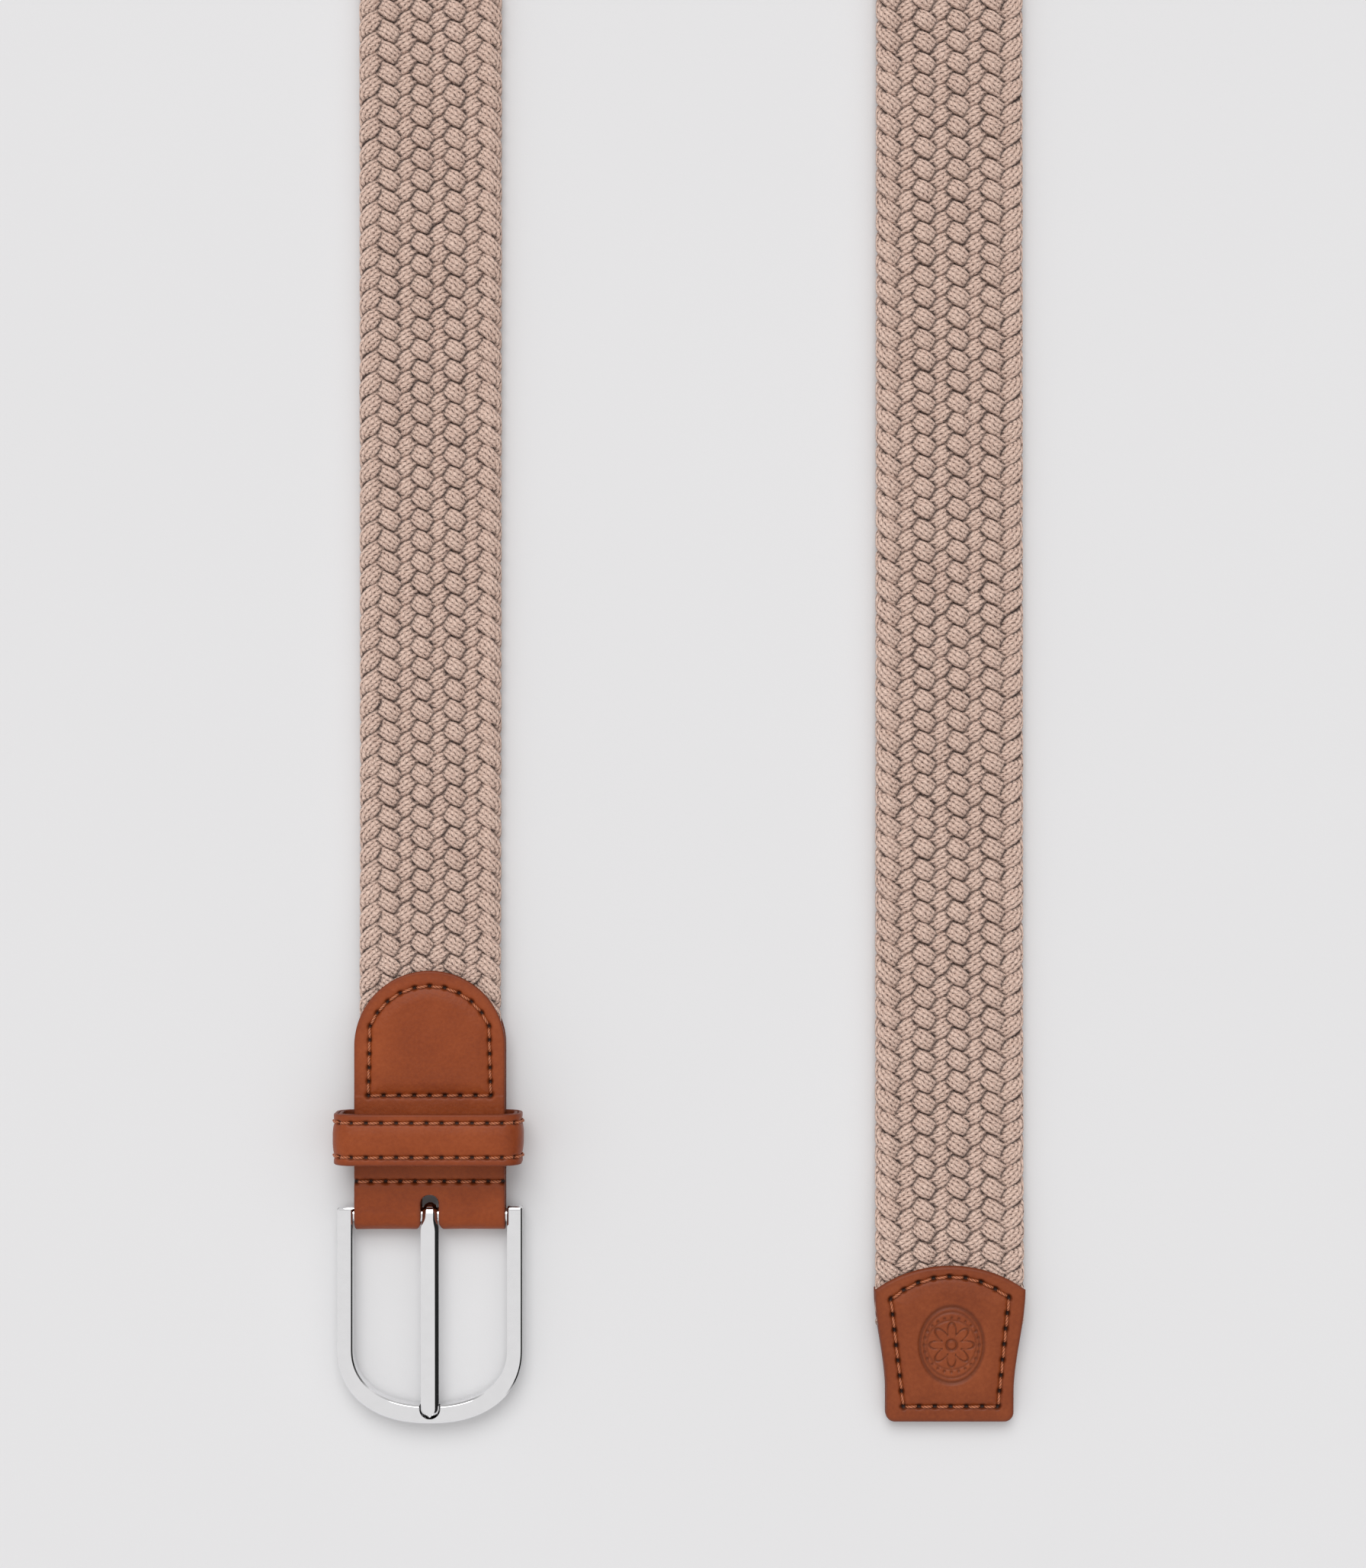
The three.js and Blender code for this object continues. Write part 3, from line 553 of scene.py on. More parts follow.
def flat_levels(y, tail):
    """Centre height and thickness of the strap where it lies flat, on either leg."""
    low = LEATHER + 2 * GLUE_GAP
    high = tip_top(np.clip(y - TAIL_END_Y, BRAID_END, TIP_LENGTH)) - low
    front = settle_height(y - CHAPE_LENGTH - SETTLE_GAP, FOLD_RADIUS, BRAID_IN_LEATHER)
    back = settle_height(y - TAIL_END_Y - TIP_LENGTH - SETTLE_GAP, (low + high) / 2, high - low)
    return [np.where(tail, b, f) for f, b in zip(front, back)]


def route_table():
    """The strap's middle line every half millimetre: place, side, up, width and thickness."""
    s = np.linspace(0, TOTAL_LENGTH, 2 * int(TOTAL_LENGTH) + 1)
    u = np.clip(s - LEG_LENGTH, 0, BEND_LENGTH)
    x, y = bend_points(u)
    y = y + np.minimum(s - LEG_LENGTH, 0) - np.maximum(s - LEG_LENGTH - BEND_LENGTH, 0)
    h, tilt = heading(u), lean(u)
    width = WIDTH_AT_BUCKLE + (WIDTH_AT_TAIL - WIDTH_AT_BUCKLE) * s / TOTAL_LENGTH
    flat, thickness = flat_levels(y, s > TOTAL_LENGTH / 2)
    standing = width / 2 * np.sin(tilt) + STRAP_THICKNESS / 2 * np.cos(tilt)
    place = np.stack([x, y, np.where(tilt > 0, standing, flat)], -1) + BUCKLE_END + [LEG_X, 0, 0]
    across = np.stack([np.cos(h), -np.sin(h), 0 * h], -1)
    sine, cosine, rise = np.sin(tilt)[:, None], np.cos(tilt)[:, None], np.array([0, 0, 1])
    return s, place, across * cosine + rise * sine, rise * cosine - across * sine, width, thickness


def lane(i):
    """Place across, height, half width, half thickness, waist and steepness of a cord at step i of 18."""
    i = i % REPEAT
    edge, middle = CORDS - 1, (CORDS - 2) / 2
    if i == edge:
        return EDGE_PLACE, *EDGE_CROSSING
    if i == REPEAT - 1:
        return -EDGE_PLACE, *EDGE_CROSSING
    if i < edge:
        return (i - middle) * COLUMN, *(LOW_CROSSING if i % 2 == 0 else HIDDEN_CROSSING)
    return (CORDS + middle - i) * COLUMN, *(HIGH_CROSSING if i % 2 == 1 else BURIED_CROSSING)

def curve(controls):
    """A smooth path through evenly spaced controls. The last column slows the sideways motion there."""
    padded = np.concatenate([2 * controls[:1] - controls[1:2], controls, 2 * controls[-1:] - controls[-2:-1]])
    slope = (padded[2:] - padded[:-2]) / 2
    slope[:, 1] *= 1 - controls[:, -1]
    t = np.arange(SAMPLES)[:, None] / SAMPLES
    keep, arrive = 2 * t ** 3 - 3 * t ** 2 + 1, 3 * t ** 2 - 2 * t ** 3
    leave, reach = t ** 3 - 2 * t ** 2 + t, t ** 3 - t ** 2
    spans = zip(controls[:-1], controls[1:], slope[:-1], slope[1:])
    pieces = [keep * a + arrive * b + leave * m + reach * n for a, b, m, n in spans]
    path = np.concatenate([*pieces, controls[-1:]])
    waist = path[:, 5] * np.abs(np.sin(math.pi * np.arange(len(path)) / SAMPLES)) ** 3
    path[:, 3] *= 1 - waist * smooth(3.6 - np.abs(path[:, 1]) / COLUMN)
    return path


def cord_frame(path):
    tangent = unit(np.gradient(path[:, :3], axis=0))
    across = unit(np.cross(tangent, [0, 0, 1]))
    return tangent, across, np.cross(across, tangent)


def cord_surface(path):
    """Rings round a path, laid out flat as (along, across, up)."""
    _, across, normal = cord_frame(path)
    angle = np.linspace(0, 2 * math.pi, CORD_SIDES, endpoint=False)
    cosine, sine = (np.sign(v) * np.abs(v) ** CORD_SQUARENESS for v in (np.cos(angle), np.sin(angle)))
    rings = (path[:, None, :3] + across[:, None] * (path[:, None, 3:4] * cosine[:, None])
             + normal[:, None] * (path[:, None, 4:5] * sine[:, None]))
    past = np.maximum(np.abs(rings[..., 1]) - EDGE_LIMIT + EDGE_SOFTNESS, 0)
    rings[..., 1] -= np.sign(rings[..., 1]) * (past - EDGE_SOFTNESS * np.tanh(past / EDGE_SOFTNESS))
    return rings


def painted_gap_shade():
    """For one repeat of a cord, how near each point of its surface comes to the cords around it, as painted
    shade: 1 close to them, 0 further off.
    """
    steps = range(-2, REPEAT + 3)
    path = curve(np.array([(j * CORD_STEP, *lane(j)) for j in steps]))
    first, count = 2 * SAMPLES, REPEAT * SAMPLES
    surface, tangent, across, normal = (
        v[first:first + count] for v in (cord_surface(path), *cord_frame(path)))
    path = path[first:first + count]
    nearest = np.full(surface.shape[:2], 9.0)
    for other in range(1, CORDS):
        for offset in range(-SAMPLES, SAMPLES + 1):
            pick = (np.arange(count) + 2 * other * SAMPLES + offset) % count
            centre = path[pick, :3].copy()
            centre[:, 0] = path[:, 0] + offset * CORD_STEP / SAMPLES
            away = surface - centre[:, None]
            parts = [np.einsum("rsk,rk->rs", away, v[pick]) for v in (across, normal, tangent)]
            sizes = path[pick, 3, None], path[pick, 4, None], 0.5
            reach = np.sqrt(sum((part / size) ** 2 for part, size in zip(parts, sizes)))
            nearest = np.minimum(nearest, reach - 1)
    return 1 - smooth((nearest - CREVICE_START) / (CREVICE_END - CREVICE_START))


def knit_uv(rings, lengths):
    """Knit columns of one width on the front and on the back, counted from the middle of each."""
    rows, half = len(rings), CORD_SIDES // 2
    closed = np.concatenate([rings, rings[:, :1]], axis=1)
    steps = np.linalg.norm(np.diff(closed, axis=1), axis=2)
    reach = np.concatenate([np.zeros((rows, 1)), np.cumsum(steps, axis=1)], axis=1)
    sides = []
    for first in (0, half):
        span = reach[:, first:first + half + 1]
        sides.append((span - span[:, half // 2, None]) / KNIT_COLUMN)
    u0 = np.concatenate([side[:, :-1] for side in sides], axis=1)
    u1 = np.concatenate([side[:, 1:] for side in sides], axis=1)
    v = np.broadcast_to(lengths[:, None] / KNIT_PITCH, u0.shape)
    return sweep_uv(u0, u1, v, CORD_SIDES)


def cord_rings(cord, route, gap_shade):
    """Rings of one cord, carried along the route, with its length and its painted shade between the cords."""
    s, place, side, up, width, thickness = route
    steps = int(TOTAL_LENGTH // CORD_STEP)
    controls = np.array([(j * CORD_STEP, *lane(j + 2 * cord)) for j in range(steps + 1)])
    rng = np.random.default_rng(cord)
    for column in (1, 0):
        controls[:, column] += rng.normal(0, LOOSENESS, len(controls))
    path = curve(controls)
    path[:, 0] = np.clip(path[:, 0], 0, TOTAL_LENGTH)
    rings = cord_surface(path)
    along, w, n = rings.reshape(-1, 3).T
    w = w * at(along, s, width) / LANES_WIDTH
    n = PRESSED * n * at(along, s, thickness) / STRAP_THICKNESS
    points = at(along, s, place) + at(along, s, side) * w[:, None] + at(along, s, up) * n[:, None]
    phase = (np.arange(len(path)) + 2 * cord * SAMPLES) % (REPEAT * SAMPLES)
    return points.reshape(rings.shape), lengths_along(path[:, :3]), gap_shade[phase].reshape(-1)


def build_braid():
    route, gap_shade = route_table(), painted_gap_shade()
    for cord in range(CORDS):
        rings, lengths, cord_shade = cord_rings(cord, route, gap_shade)
        # The 'deep' mark carries the painted shade between the cords
        marks, uv = {"deep": cord_shade}, knit_uv(rings, lengths)
        obj = new_object(f"braid_cord_{cord + 1}", sweep(rings), KNIT, marks=marks, uv=uv)
        add_piece(obj, "belt", "braided_strap")


# ---- Stitches and their holes --------------------------------------------------------------
def holes_field(x, y, holes, length, width):
    """1 in the middle of each needle hole, falling to 0 outside it. Holes are (x, y, direction)."""
    field = np.zeros(np.shape(x))
    for hx, hy, a in holes:
        along = (x - hx) * math.cos(a) + (y - hy) * math.sin(a)
        across = -(x - hx) * math.sin(a) + (y - hy) * math.cos(a)
        field = np.maximum(field, np.exp(-((along / length) ** 2 + (across / width) ** 2) ** 1.5))
    return field

def stitch_rings(start, end, up, radius, lift):
    """One stitch: it comes out of a hole, lies over the leather and dives into the next."""
    profile = [(0.09, -2.4), (0.10, -1.0), (0.15, 0.1), (0.23, 0.75), (0.35, 1), (0.5, 1.05),
               (0.65, 1), (0.77, 0.75), (0.85, 0.1), (0.90, -1.0), (0.91, -2.4)]
    swell = [0.8, 0.85, 0.92, 1, 1.05, 1.06, 1.05, 1, 0.92, 0.85, 0.8]
    radii = radius * np.array(swell)[:, None, None]
    across = unit(np.cross(end - start, up))
    path = np.array([start + (end - start) * t + up * (lift * h) for t, h in profile])
    tangent = unit(np.gradient(path, axis=0))
    normal = unit(np.cross(np.broadcast_to(across, tangent.shape), tangent))
    return round_section(path, radii * across, radii * normal[:, None], 8)


def stitch_uv(rings, number):
    """The thread's twist runs on from one stitch to the next."""
    count, size = rings.shape[:2]
    plies, twists = 3, 5
    around = np.tile(np.arange(size) / size * plies, (count, 1))
    along = np.tile(np.linspace(0, twists, count)[:, None] + number, (1, size))
    return sweep_uv(around, around + plies / size, along, size)


def stitch_row(name, pairs, origin, body, node, radius=STITCH_RADIUS, lift=STITCH_LIFT):
    """All the stitches of one thread. Pairs are (start, end, up)."""
    points, quads, uvs, total = [], [], [], 0
    for number, (start, end, up) in enumerate(pairs):
        start, end, up = (np.asarray(v, float) for v in (start, end, up))
        offset = unit(np.cross(end - start, up)) * STITCH_SLANT + (end - start) * HOLE_SHARE
        rings = stitch_rings(start + offset, end - offset, up, radius, lift)
        ring_points, ring_quads = sweep(rings)
        points.append(ring_points)
        quads.append(ring_quads + total)
        uvs.append(stitch_uv(rings, number))
        total += len(ring_points)
    shape = np.concatenate(points), np.concatenate(quads)
    obj = new_object(name, shape, THREAD, origin, uv=np.concatenate(uvs))
    add_piece(obj, body, node)


def level(value):
    """The same value at every y."""
    return lambda y: value + 0 * y


def flat_pairs(holes, height, up=1):
    """Stitches between holes in a face whose height is a function of y."""
    spots = [(x, y, height(y)) for x, y in holes]
    return [(a, b, (0, 0, up)) for a, b in zip(spots[:-1], spots[1:])]


def flat_rows(name, holes, origin, height, radius=STITCH_RADIUS):
    """The needle thread on the front and the bobbin thread on the back of a row of holes."""
    front, back = flat_pairs(holes, height), flat_pairs(holes, level(BACK_THREAD), -1)
    stitch_row(f"{name}_front_stitches", front, origin, "belt", f"{name}_needle_thread", radius)
    stitch_row(f"{name}_back_stitches", back, origin, "belt", f"{name}_bobbin_thread")

def with_directions(holes):
    result = []
    for i, (x, y) in enumerate(holes):
        before, after = holes[max(i - 1, 0)], holes[min(i + 1, len(holes) - 1)]
        result.append((x, y, math.atan2(after[1] - before[1], after[0] - before[0])))
    return result

def face_marks(hole, edge):
    """Marks of a pillow, each given for its upper and its lower face."""
    pairs = ("hole", hole), ("edge", edge)
    return {label: np.concatenate([np.ravel(face) for face in faces]) for label, faces in pairs}


# ---- Leather at the buckle end -------------------------------------------------------------

def circle_run(left, top, right, count):
    """Points on the circle through a left, a top and a right point, from left to right."""
    half = (right[0] - left[0]) / 2
    rise = top[1] - left[1]
    radius = (half ** 2 + rise ** 2) / (2 * rise)
    centre = (top[0], top[1] - radius)
    start = math.atan2(left[1] - centre[1], left[0] - centre[0])
    end = math.atan2(right[1] - centre[1], right[0] - centre[0])
    return [(centre[0] + radius * math.cos(a), centre[1] + radius * math.sin(a))
            for a in np.linspace(start, end, count + 1)]


def d_holes():
    left = [(-D_HALF + D_TAPER * t, D_SEAM_Y + (D_SIDE_TOP - D_SEAM_Y) * t) for t in np.linspace(0, 1, 6)]
    arch = circle_run(left[-1], (0, D_ARCH_TOP), (-left[-1][0], D_SIDE_TOP), 10)
    right = [(-x, y) for x, y in left[::-1]]
    bottom = [(D_HALF - 2 * D_HALF * t, D_SEAM_Y) for t in np.linspace(0, 1, 9)]
    return left + arch[1:-1] + right + bottom[1:]


def bar_holes():
    return [(x, BAR_SEAM_Y) for x in np.linspace(-BAR_SEAM_HALF, BAR_SEAM_HALF, 11)]

def chape_relief(x, l):
    """Height of the front face over the plain strip, with hole and edge marks."""
    seam = d_holes()
    distance = segment_distance(x, l, seam)
    edge = np.where(l > ARCH_Y, CHAPE_HALF - np.hypot(x, l - ARCH_Y), CHAPE_HALF - np.abs(x))
    sunk = -0.12 * smooth(distance / 3) * (l > D_SEAM_Y)
    puff = np.where(inside(x, l, seam), 0.42 * smooth(distance / 3.2), sunk)
    groove = 0.22 * bell(distance, 0.7) * smooth((l - 22) / 4) + 0.3 * bell(l - BAR_SEAM_Y, 0.9)
    # Needle hole marks: dents, and painted shade in the holes
    marks = np.maximum(holes_field(x, l, with_directions(seam), 0.76, 0.56),
                       holes_field(x, l, with_directions(bar_holes()), 0.80, 0.60))
    soft = ripple(x, l, 3, 14) * 0.07 + ripple(x, l, 8, 5) * 0.03
    relief = (puff - groove) * smooth((l + 1) / 4) + soft * smooth(edge / 3) - 0.75 * marks
    return relief - edge_drop(edge, 0.5), marks, wear_and_shade(edge, 0.55)


def fold_position(x, l, h):
    """Carries a point of the strip round the bar. h is the height above the outer face."""
    theta = np.clip(-l / FOLD_RADIUS, 0, math.pi)
    past = np.maximum(-l - HALF_TURN, 0)
    y = np.maximum(l, 0) - (FOLD_RADIUS + h) * np.sin(theta) + past
    z = FOLD_RADIUS + (FOLD_RADIUS + h) * np.cos(theta)
    return np.stack([x, y, z], -1)


def strip_rows():
    """Stations along the strip from the top of the front D, round the fold, to the back D."""
    arch, back_arch = (ARCH_Y + CHAPE_HALF * np.sin(np.radians(a))
                       for a in (np.linspace(89.4, 2, 64), np.linspace(2, 89.4, 40)))
    front = np.arange(ARCH_Y, SLOT_TOP + 0.01, -0.30)
    slot = SLOT_TOP - SLOT_HALF * (1 - np.cos(np.linspace(0, math.pi / 2, 9)))
    fold = np.linspace(slot[-1], -HALF_TURN - slot[-1], 46)
    behind = [-HALF_TURN - run for run in (slot[::-1], np.arange(SLOT_TOP, ARCH_Y, 0.8), back_arch)]
    rows = np.concatenate([arch, front, slot, fold[1:-1], *behind])
    return rows[np.concatenate([[True], np.diff(rows) < -1e-4])]


def strip_half_widths(rows):
    """Outer and inner half width of the strip at each station."""
    level = np.where(rows < -HALF_TURN / 2, -HALF_TURN - rows, rows)
    outer = np.sqrt(np.maximum(CHAPE_HALF ** 2 - np.maximum(level - ARCH_Y, 0) ** 2, 0))
    slot_shoulder = SLOT_TOP - SLOT_HALF
    rise = np.maximum(level - slot_shoulder, 0)
    turn = np.clip(-rows / FOLD_RADIUS, 0, math.pi)
    flare = np.where(level < slot_shoulder, SLOT_FLARE * bell(turn - math.pi / 2, 0.55), 0)
    inner = np.sqrt(np.maximum(SLOT_HALF ** 2 - rise ** 2, 0)) + flare
    return outer, np.where(level < SLOT_TOP, inner, 0)


def build_chape():
    rows = strip_rows()
    outer, inner = strip_half_widths(rows)
    near = [0, 0.02, 0.06, 0.12, 0.2, 0.3, 0.42, 0.56, 0.72, 0.9]
    far = CHAPE_HALF - np.array([0.3, 0.15, 0.05, 0])
    offsets = np.concatenate([near, np.arange(1.12, CHAPE_HALF - 0.6, 0.28), far]) / CHAPE_HALF
    x = inner[:, None] + (outer - inner)[:, None] * (1 - offsets[None, ::-1])
    l = np.broadcast_to(rows[:, None], x.shape)
    (right, right_marks), (left, left_marks) = (chape_half(x, l, inner, sign) for sign in (1, -1))
    shape = (np.concatenate([right[0], left[0]]),
             np.concatenate([right[1], left[1][:, ::-1] + len(right[0])]))
    marks = {label: np.concatenate([right_marks[label], left_marks[label]]) for label in right_marks}
    obj = new_object("chape_skin", shape, TAN, BUCKLE_END, marks)
    weld(obj)
    add_piece(obj, "belt", "chape_leather")


def chape_half(x, l, inner, sign):
    """The folded strip on one side of its middle line, which is open along the slot."""
    mirrored = np.where(l < -HALF_TURN, -HALF_TURN - l, np.maximum(l, 0))
    relief, hole, edge = chape_relief(sign * x, mirrored)
    slot_edge, in_slot = x - inner[:, None], (inner > 0)[:, None]
    back = -0.5 * hole - edge_drop(CHAPE_HALF - x, 0.35)
    relief = np.where(l < -HALF_TURN / 2, back, relief) - np.where(in_slot, edge_drop(slot_edge, 0.35), 0)
    bulge = 0.4 * bell(l + HALF_TURN / 2, 2.6)
    creases = 0.05 * np.sin(l * 2.1 + ripple(x * sign, l, 5, 11) * 3) * bell(l + 2.5, 3.5)
    top = fold_position(sign * x, l, relief + creases + bulge)
    low = fold_position(sign * x, l, -LEATHER + np.where(in_slot, edge_drop(slot_edge, 0.2), 0))
    # Along the slot the leather darkens towards its lip: a burnished rim, and painted shade down into the
    # slot
    edge = np.maximum(edge, np.where(in_slot, wear_and_shade(slot_edge, 0.4), 0))
    open_rows = np.flatnonzero((inner[:-1] > 0) | (inner[1:] > 0))
    return pillow(top, low, open_rows), face_marks((hole, 0 * hole), (edge, 1 + 0 * edge))


def build_chape_stitches():
    front = level(2 * FOLD_RADIUS - THREAD_SUNK)
    flat_rows("chape_d", d_holes(), BUCKLE_END, front)
    flat_rows("chape_bar", bar_holes(), BUCKLE_END, front, BAR_THREAD_RADIUS)


def slab(name, half_width, low_y, high_y, low_z, high_z, origin, node):
    """A rounded block of board between plies. Its half width and its top are functions of y."""
    y = np.linspace(low_y, high_y, int((high_y - low_y) / 0.3) + 8)
    x, y = np.meshgrid(np.linspace(-1, 1, 121), y)
    x = x * half_width(y)
    drop = edge_drop(np.minimum(half_width(y) - np.abs(x), np.minimum(y - low_y, high_y - y)), 0.3)
    top, low = np.stack([x, y, high_z(y) - drop], -1), np.stack([x, y, low_z + drop], -1)
    hole, edge = 0 * x, 0.6 + 0 * x
    marks = face_marks((hole, hole), (edge, edge))
    add_piece(new_object(name, pillow(top, low), DARK_TAN, origin, marks), "belt", node)


# ---- Keeper --------------------------------------------------------------------------------


def even_points(path, count):
    """count + 1 points at equal distances along a polyline."""
    reach = lengths_along(path)
    return at(np.linspace(0, reach[-1], count + 1), reach, path)


def keeper_track(inset):
    """Places and outward directions round the loop, from the butt joint at the back."""
    half, radius = KEEPER_HALF - inset, KEEPER_BEND - inset
    low, high = KEEPER_LOW + inset, KEEPER_HIGH - inset
    corners = [(half - radius, low + radius, -90), (half - radius, high - radius, 0),
               (-half + radius, high - radius, 90), (-half + radius, low + radius, 180)]
    path = [(KEEPER_BUTT, low)]
    for cx, cz, start in corners:
        for a in np.radians(np.linspace(start, start + 90, 20)):
            path.append((cx + radius * math.cos(a), cz + radius * math.sin(a)))
    path = np.array([*path, (-KEEPER_BUTT, low)])
    even = even_points(path, int(lengths_along(path)[-1] / 0.27))
    tangent = unit(np.gradient(even, axis=0))
    return even, np.stack([tangent[:, 1], -tangent[:, 0]], -1), lengths_along(even)


def keeper_ply(name, inset, node, outside, material):
    """One ply of the loop. Its stitched face, outside or inside, carries grooves and needle holes."""
    place, outward, reach = keeper_track(inset)
    half = KEEPER_WIDTH / 2
    near = np.array([0, 0.03, 0.08, 0.16, 0.27, 0.4, 0.55])
    v = np.concatenate([near - half, np.arange(-half + 0.75, half - 0.7, 0.21), half - near[::-1]])
    gv, gs = np.meshgrid(v, reach)
    edge, past_seam = half - np.abs(gv), np.abs(gv) - KEEPER_SEAM
    holes = [(s, side * KEEPER_SEAM, 0) for s in keeper_hole_positions() for side in (-1, 1)]
    # Needle hole marks: dents, and painted shade in the holes
    marks = holes_field(gs, gv, holes, 0.78, 0.54)
    groove = 0.2 * bell(past_seam, 0.55)
    crown = 0.28 * smooth(-past_seam / 3) + ripple(gs, gv, 12, 7) * 0.04
    outer_h = (crown - groove - 0.55 * marks) * outside - edge_drop(edge, 0.42)
    inner_h = (-groove - 0.4 * marks) * (not outside) - edge_drop(edge, 0.3)
    p, n = (np.insert(v, 1, 0, axis=1)[:, None] for v in (place, outward))
    shift = np.stack([0 * gv, gv + KEEPER_Y, 0 * gv], -1)
    top = p + n * outer_h[..., None] + shift
    low = p - n * (KEEPER_PLY + inner_h)[..., None] + shift
    wear = wear_and_shade(edge, 0.6)
    fields = face_marks((marks, marks * (not outside)), (wear, np.clip(wear + 0.3, 0, 1)))
    obj = new_object(name, pillow(top, low), material, BUCKLE_END, fields)
    add_piece(obj, "keeper", node)


def keeper_hole_positions():
    """Distances round the outer face, even about the middle of the front."""
    middle = keeper_track(0)[2][-1] / 2
    side = np.arange(0, middle - 1.0, KEEPER_HOLE_SPACING)
    return np.concatenate([middle - side[::-1], middle + side[1:]])


def keeper_row(name, inset, seam, node, sign):
    """The stitches of one row on the loop's outer (sign 1) or inner (sign -1) face."""
    place, outward, reach = keeper_track(inset)
    spots = keeper_hole_positions() / keeper_track(0)[2][-1] * reach[-1]
    out = unit(at(spots, reach, outward)) * sign
    ends = np.insert(at(spots, reach, place) - out * 0.15, 1, KEEPER_Y + seam, axis=1)
    ups = np.insert(unit(out[:-1] + out[1:]), 1, 0, axis=1)
    stitch_row(name, zip(ends[:-1], ends[1:], ups), BUCKLE_END, "keeper", node, lift=0.34)


def build_keeper():
    gap = GLUE_GAP + KEEPER_PLY
    keeper_ply("keeper_outer_leather", 0, "keeper_outer", True, TAN)
    keeper_ply("keeper_lining_leather", gap, "keeper_lining", False, DARK_TAN)
    lining_face = gap + KEEPER_PLY
    for side, seam in (("upper", KEEPER_SEAM), ("lower", -KEEPER_SEAM)):
        keeper_row(f"keeper_{side}_outer_stitches", 0, seam, f"keeper_{side}_needle_thread", 1)
        keeper_row(f"keeper_{side}_inner_stitches", lining_face, seam, f"keeper_{side}_bobbin_thread", -1)
    build_staple(KEEPER_LOW + lining_face)


def build_staple(face):
    """A round wire staple that closes the loop's butt joint."""
    path = [(-STAPLE_HALF, KEEPER_LOW + 0.3), (-STAPLE_HALF, face - 0.2)]
    for a in np.linspace(0.2, math.pi / 2, 6):
        path.append((-STAPLE_HALF + STAPLE_BEND * (1 - math.cos(a)), face + STAPLE_BEND * math.sin(a)))
    path += [(-x, z) for x, z in path[::-1]]
    spine = np.array([(x, KEEPER_Y, z) for x, z in path])
    side = np.array([0, 1.0, 0])
    normal = np.cross(unit(np.gradient(spine, axis=0)), side)
    rings = round_section(spine, STAPLE_RADIUS * side, STAPLE_RADIUS * normal[:, None], 12)
    obj = new_object("keeper_wire_staple", sweep(rings), STEEL, BUCKLE_END)
    add_piece(obj, "keeper", "keeper_staple")


# ---- Leather tip ---------------------------------------------------------------------------


def tip_holes():
    """28 stitches: seven up each side, eight over the arch and six along the end."""
    side = np.linspace(0, 1, 8)
    left = [(TIP_SEAM_LEFT - 3.0 * t, TIP_SEAM_LOW + 25.2 * t) for t in side]
    right = [(TIP_SEAM_RIGHT + 2.4 * t, TIP_SEAM_LOW + 25.6 * t) for t in side]
    arch = circle_run(left[-1], (0, TIP_SEAM_TOP), right[-1], 8)
    end = [(x, TIP_SEAM_LOW) for x in np.linspace(TIP_SEAM_RIGHT, TIP_SEAM_LEFT, 7)]
    return left + arch[1:-1] + right[::-1] + end[1:]


def tip_side(y):
    """Half width between the sides, which run straight up from the end and then flare."""
    flare = smooth((y - TIP_TAPER_START) / (TIP_SHOULDER_Y - TIP_TAPER_START))
    return TIP_END + (TIP_SHOULDER - TIP_END) * flare

def tip_half_width(y):
    side = tip_side(y)
    over = np.clip(y - TIP_ARCH_Y, 0, TIP_ARCH_RADIUS)
    arch = np.sqrt(np.maximum(TIP_ARCH_RADIUS ** 2 - over ** 2, 1e-4))
    dip = np.clip(TIP_CORNER - y, 0, TIP_CORNER)
    rounded = TIP_CORNER - np.sqrt(np.maximum(TIP_CORNER ** 2 - dip ** 2, 0))
    return np.where(y > TIP_SHOULDER_Y, np.minimum(arch, side), side) - rounded


def tip_edge(x, y):
    """Distance in from the tip's outline."""
    side = tip_side(y) - np.abs(x)
    arch = TIP_ARCH_RADIUS - np.hypot(x, y - TIP_ARCH_Y)
    plain = np.minimum(np.minimum(side, y), arch)
    cx, cy = TIP_END - TIP_CORNER, TIP_CORNER
    at_corner = (np.abs(x) > cx) & (y < cy)
    return np.where(at_corner, TIP_CORNER - np.hypot(np.abs(x) - cx, y - cy), plain)


def ornament(x, y):
    """A pressed oval with a double rim round an eight-petalled flower."""
    cx, cy, rx, ry = 0.3, 18.3, 7.4, 8.9
    r = np.hypot((x - cx) / rx, (y - cy) / ry)
    rim = bell((r - 1) * 8, 0.45) + 0.7 * bell((r - 0.87) * 8, 0.3)
    angle, rho = np.arctan2(y - cy, x - cx), np.hypot(x - cx, y - cy)
    petal = 2.3 + 2.9 * np.abs(np.cos(4 * angle))
    flower, heart, ring = bell(rho - petal, 0.28), bell(rho - 1.2, 0.28), bell(rho - 5.75, 0.22)
    dots = bell(rho - 6.35, 0.35) * (0.5 + 0.5 * np.cos(24 * angle)) ** 3
    return np.clip(rim + flower + heart + 0.6 * ring + dots, 0, 1)


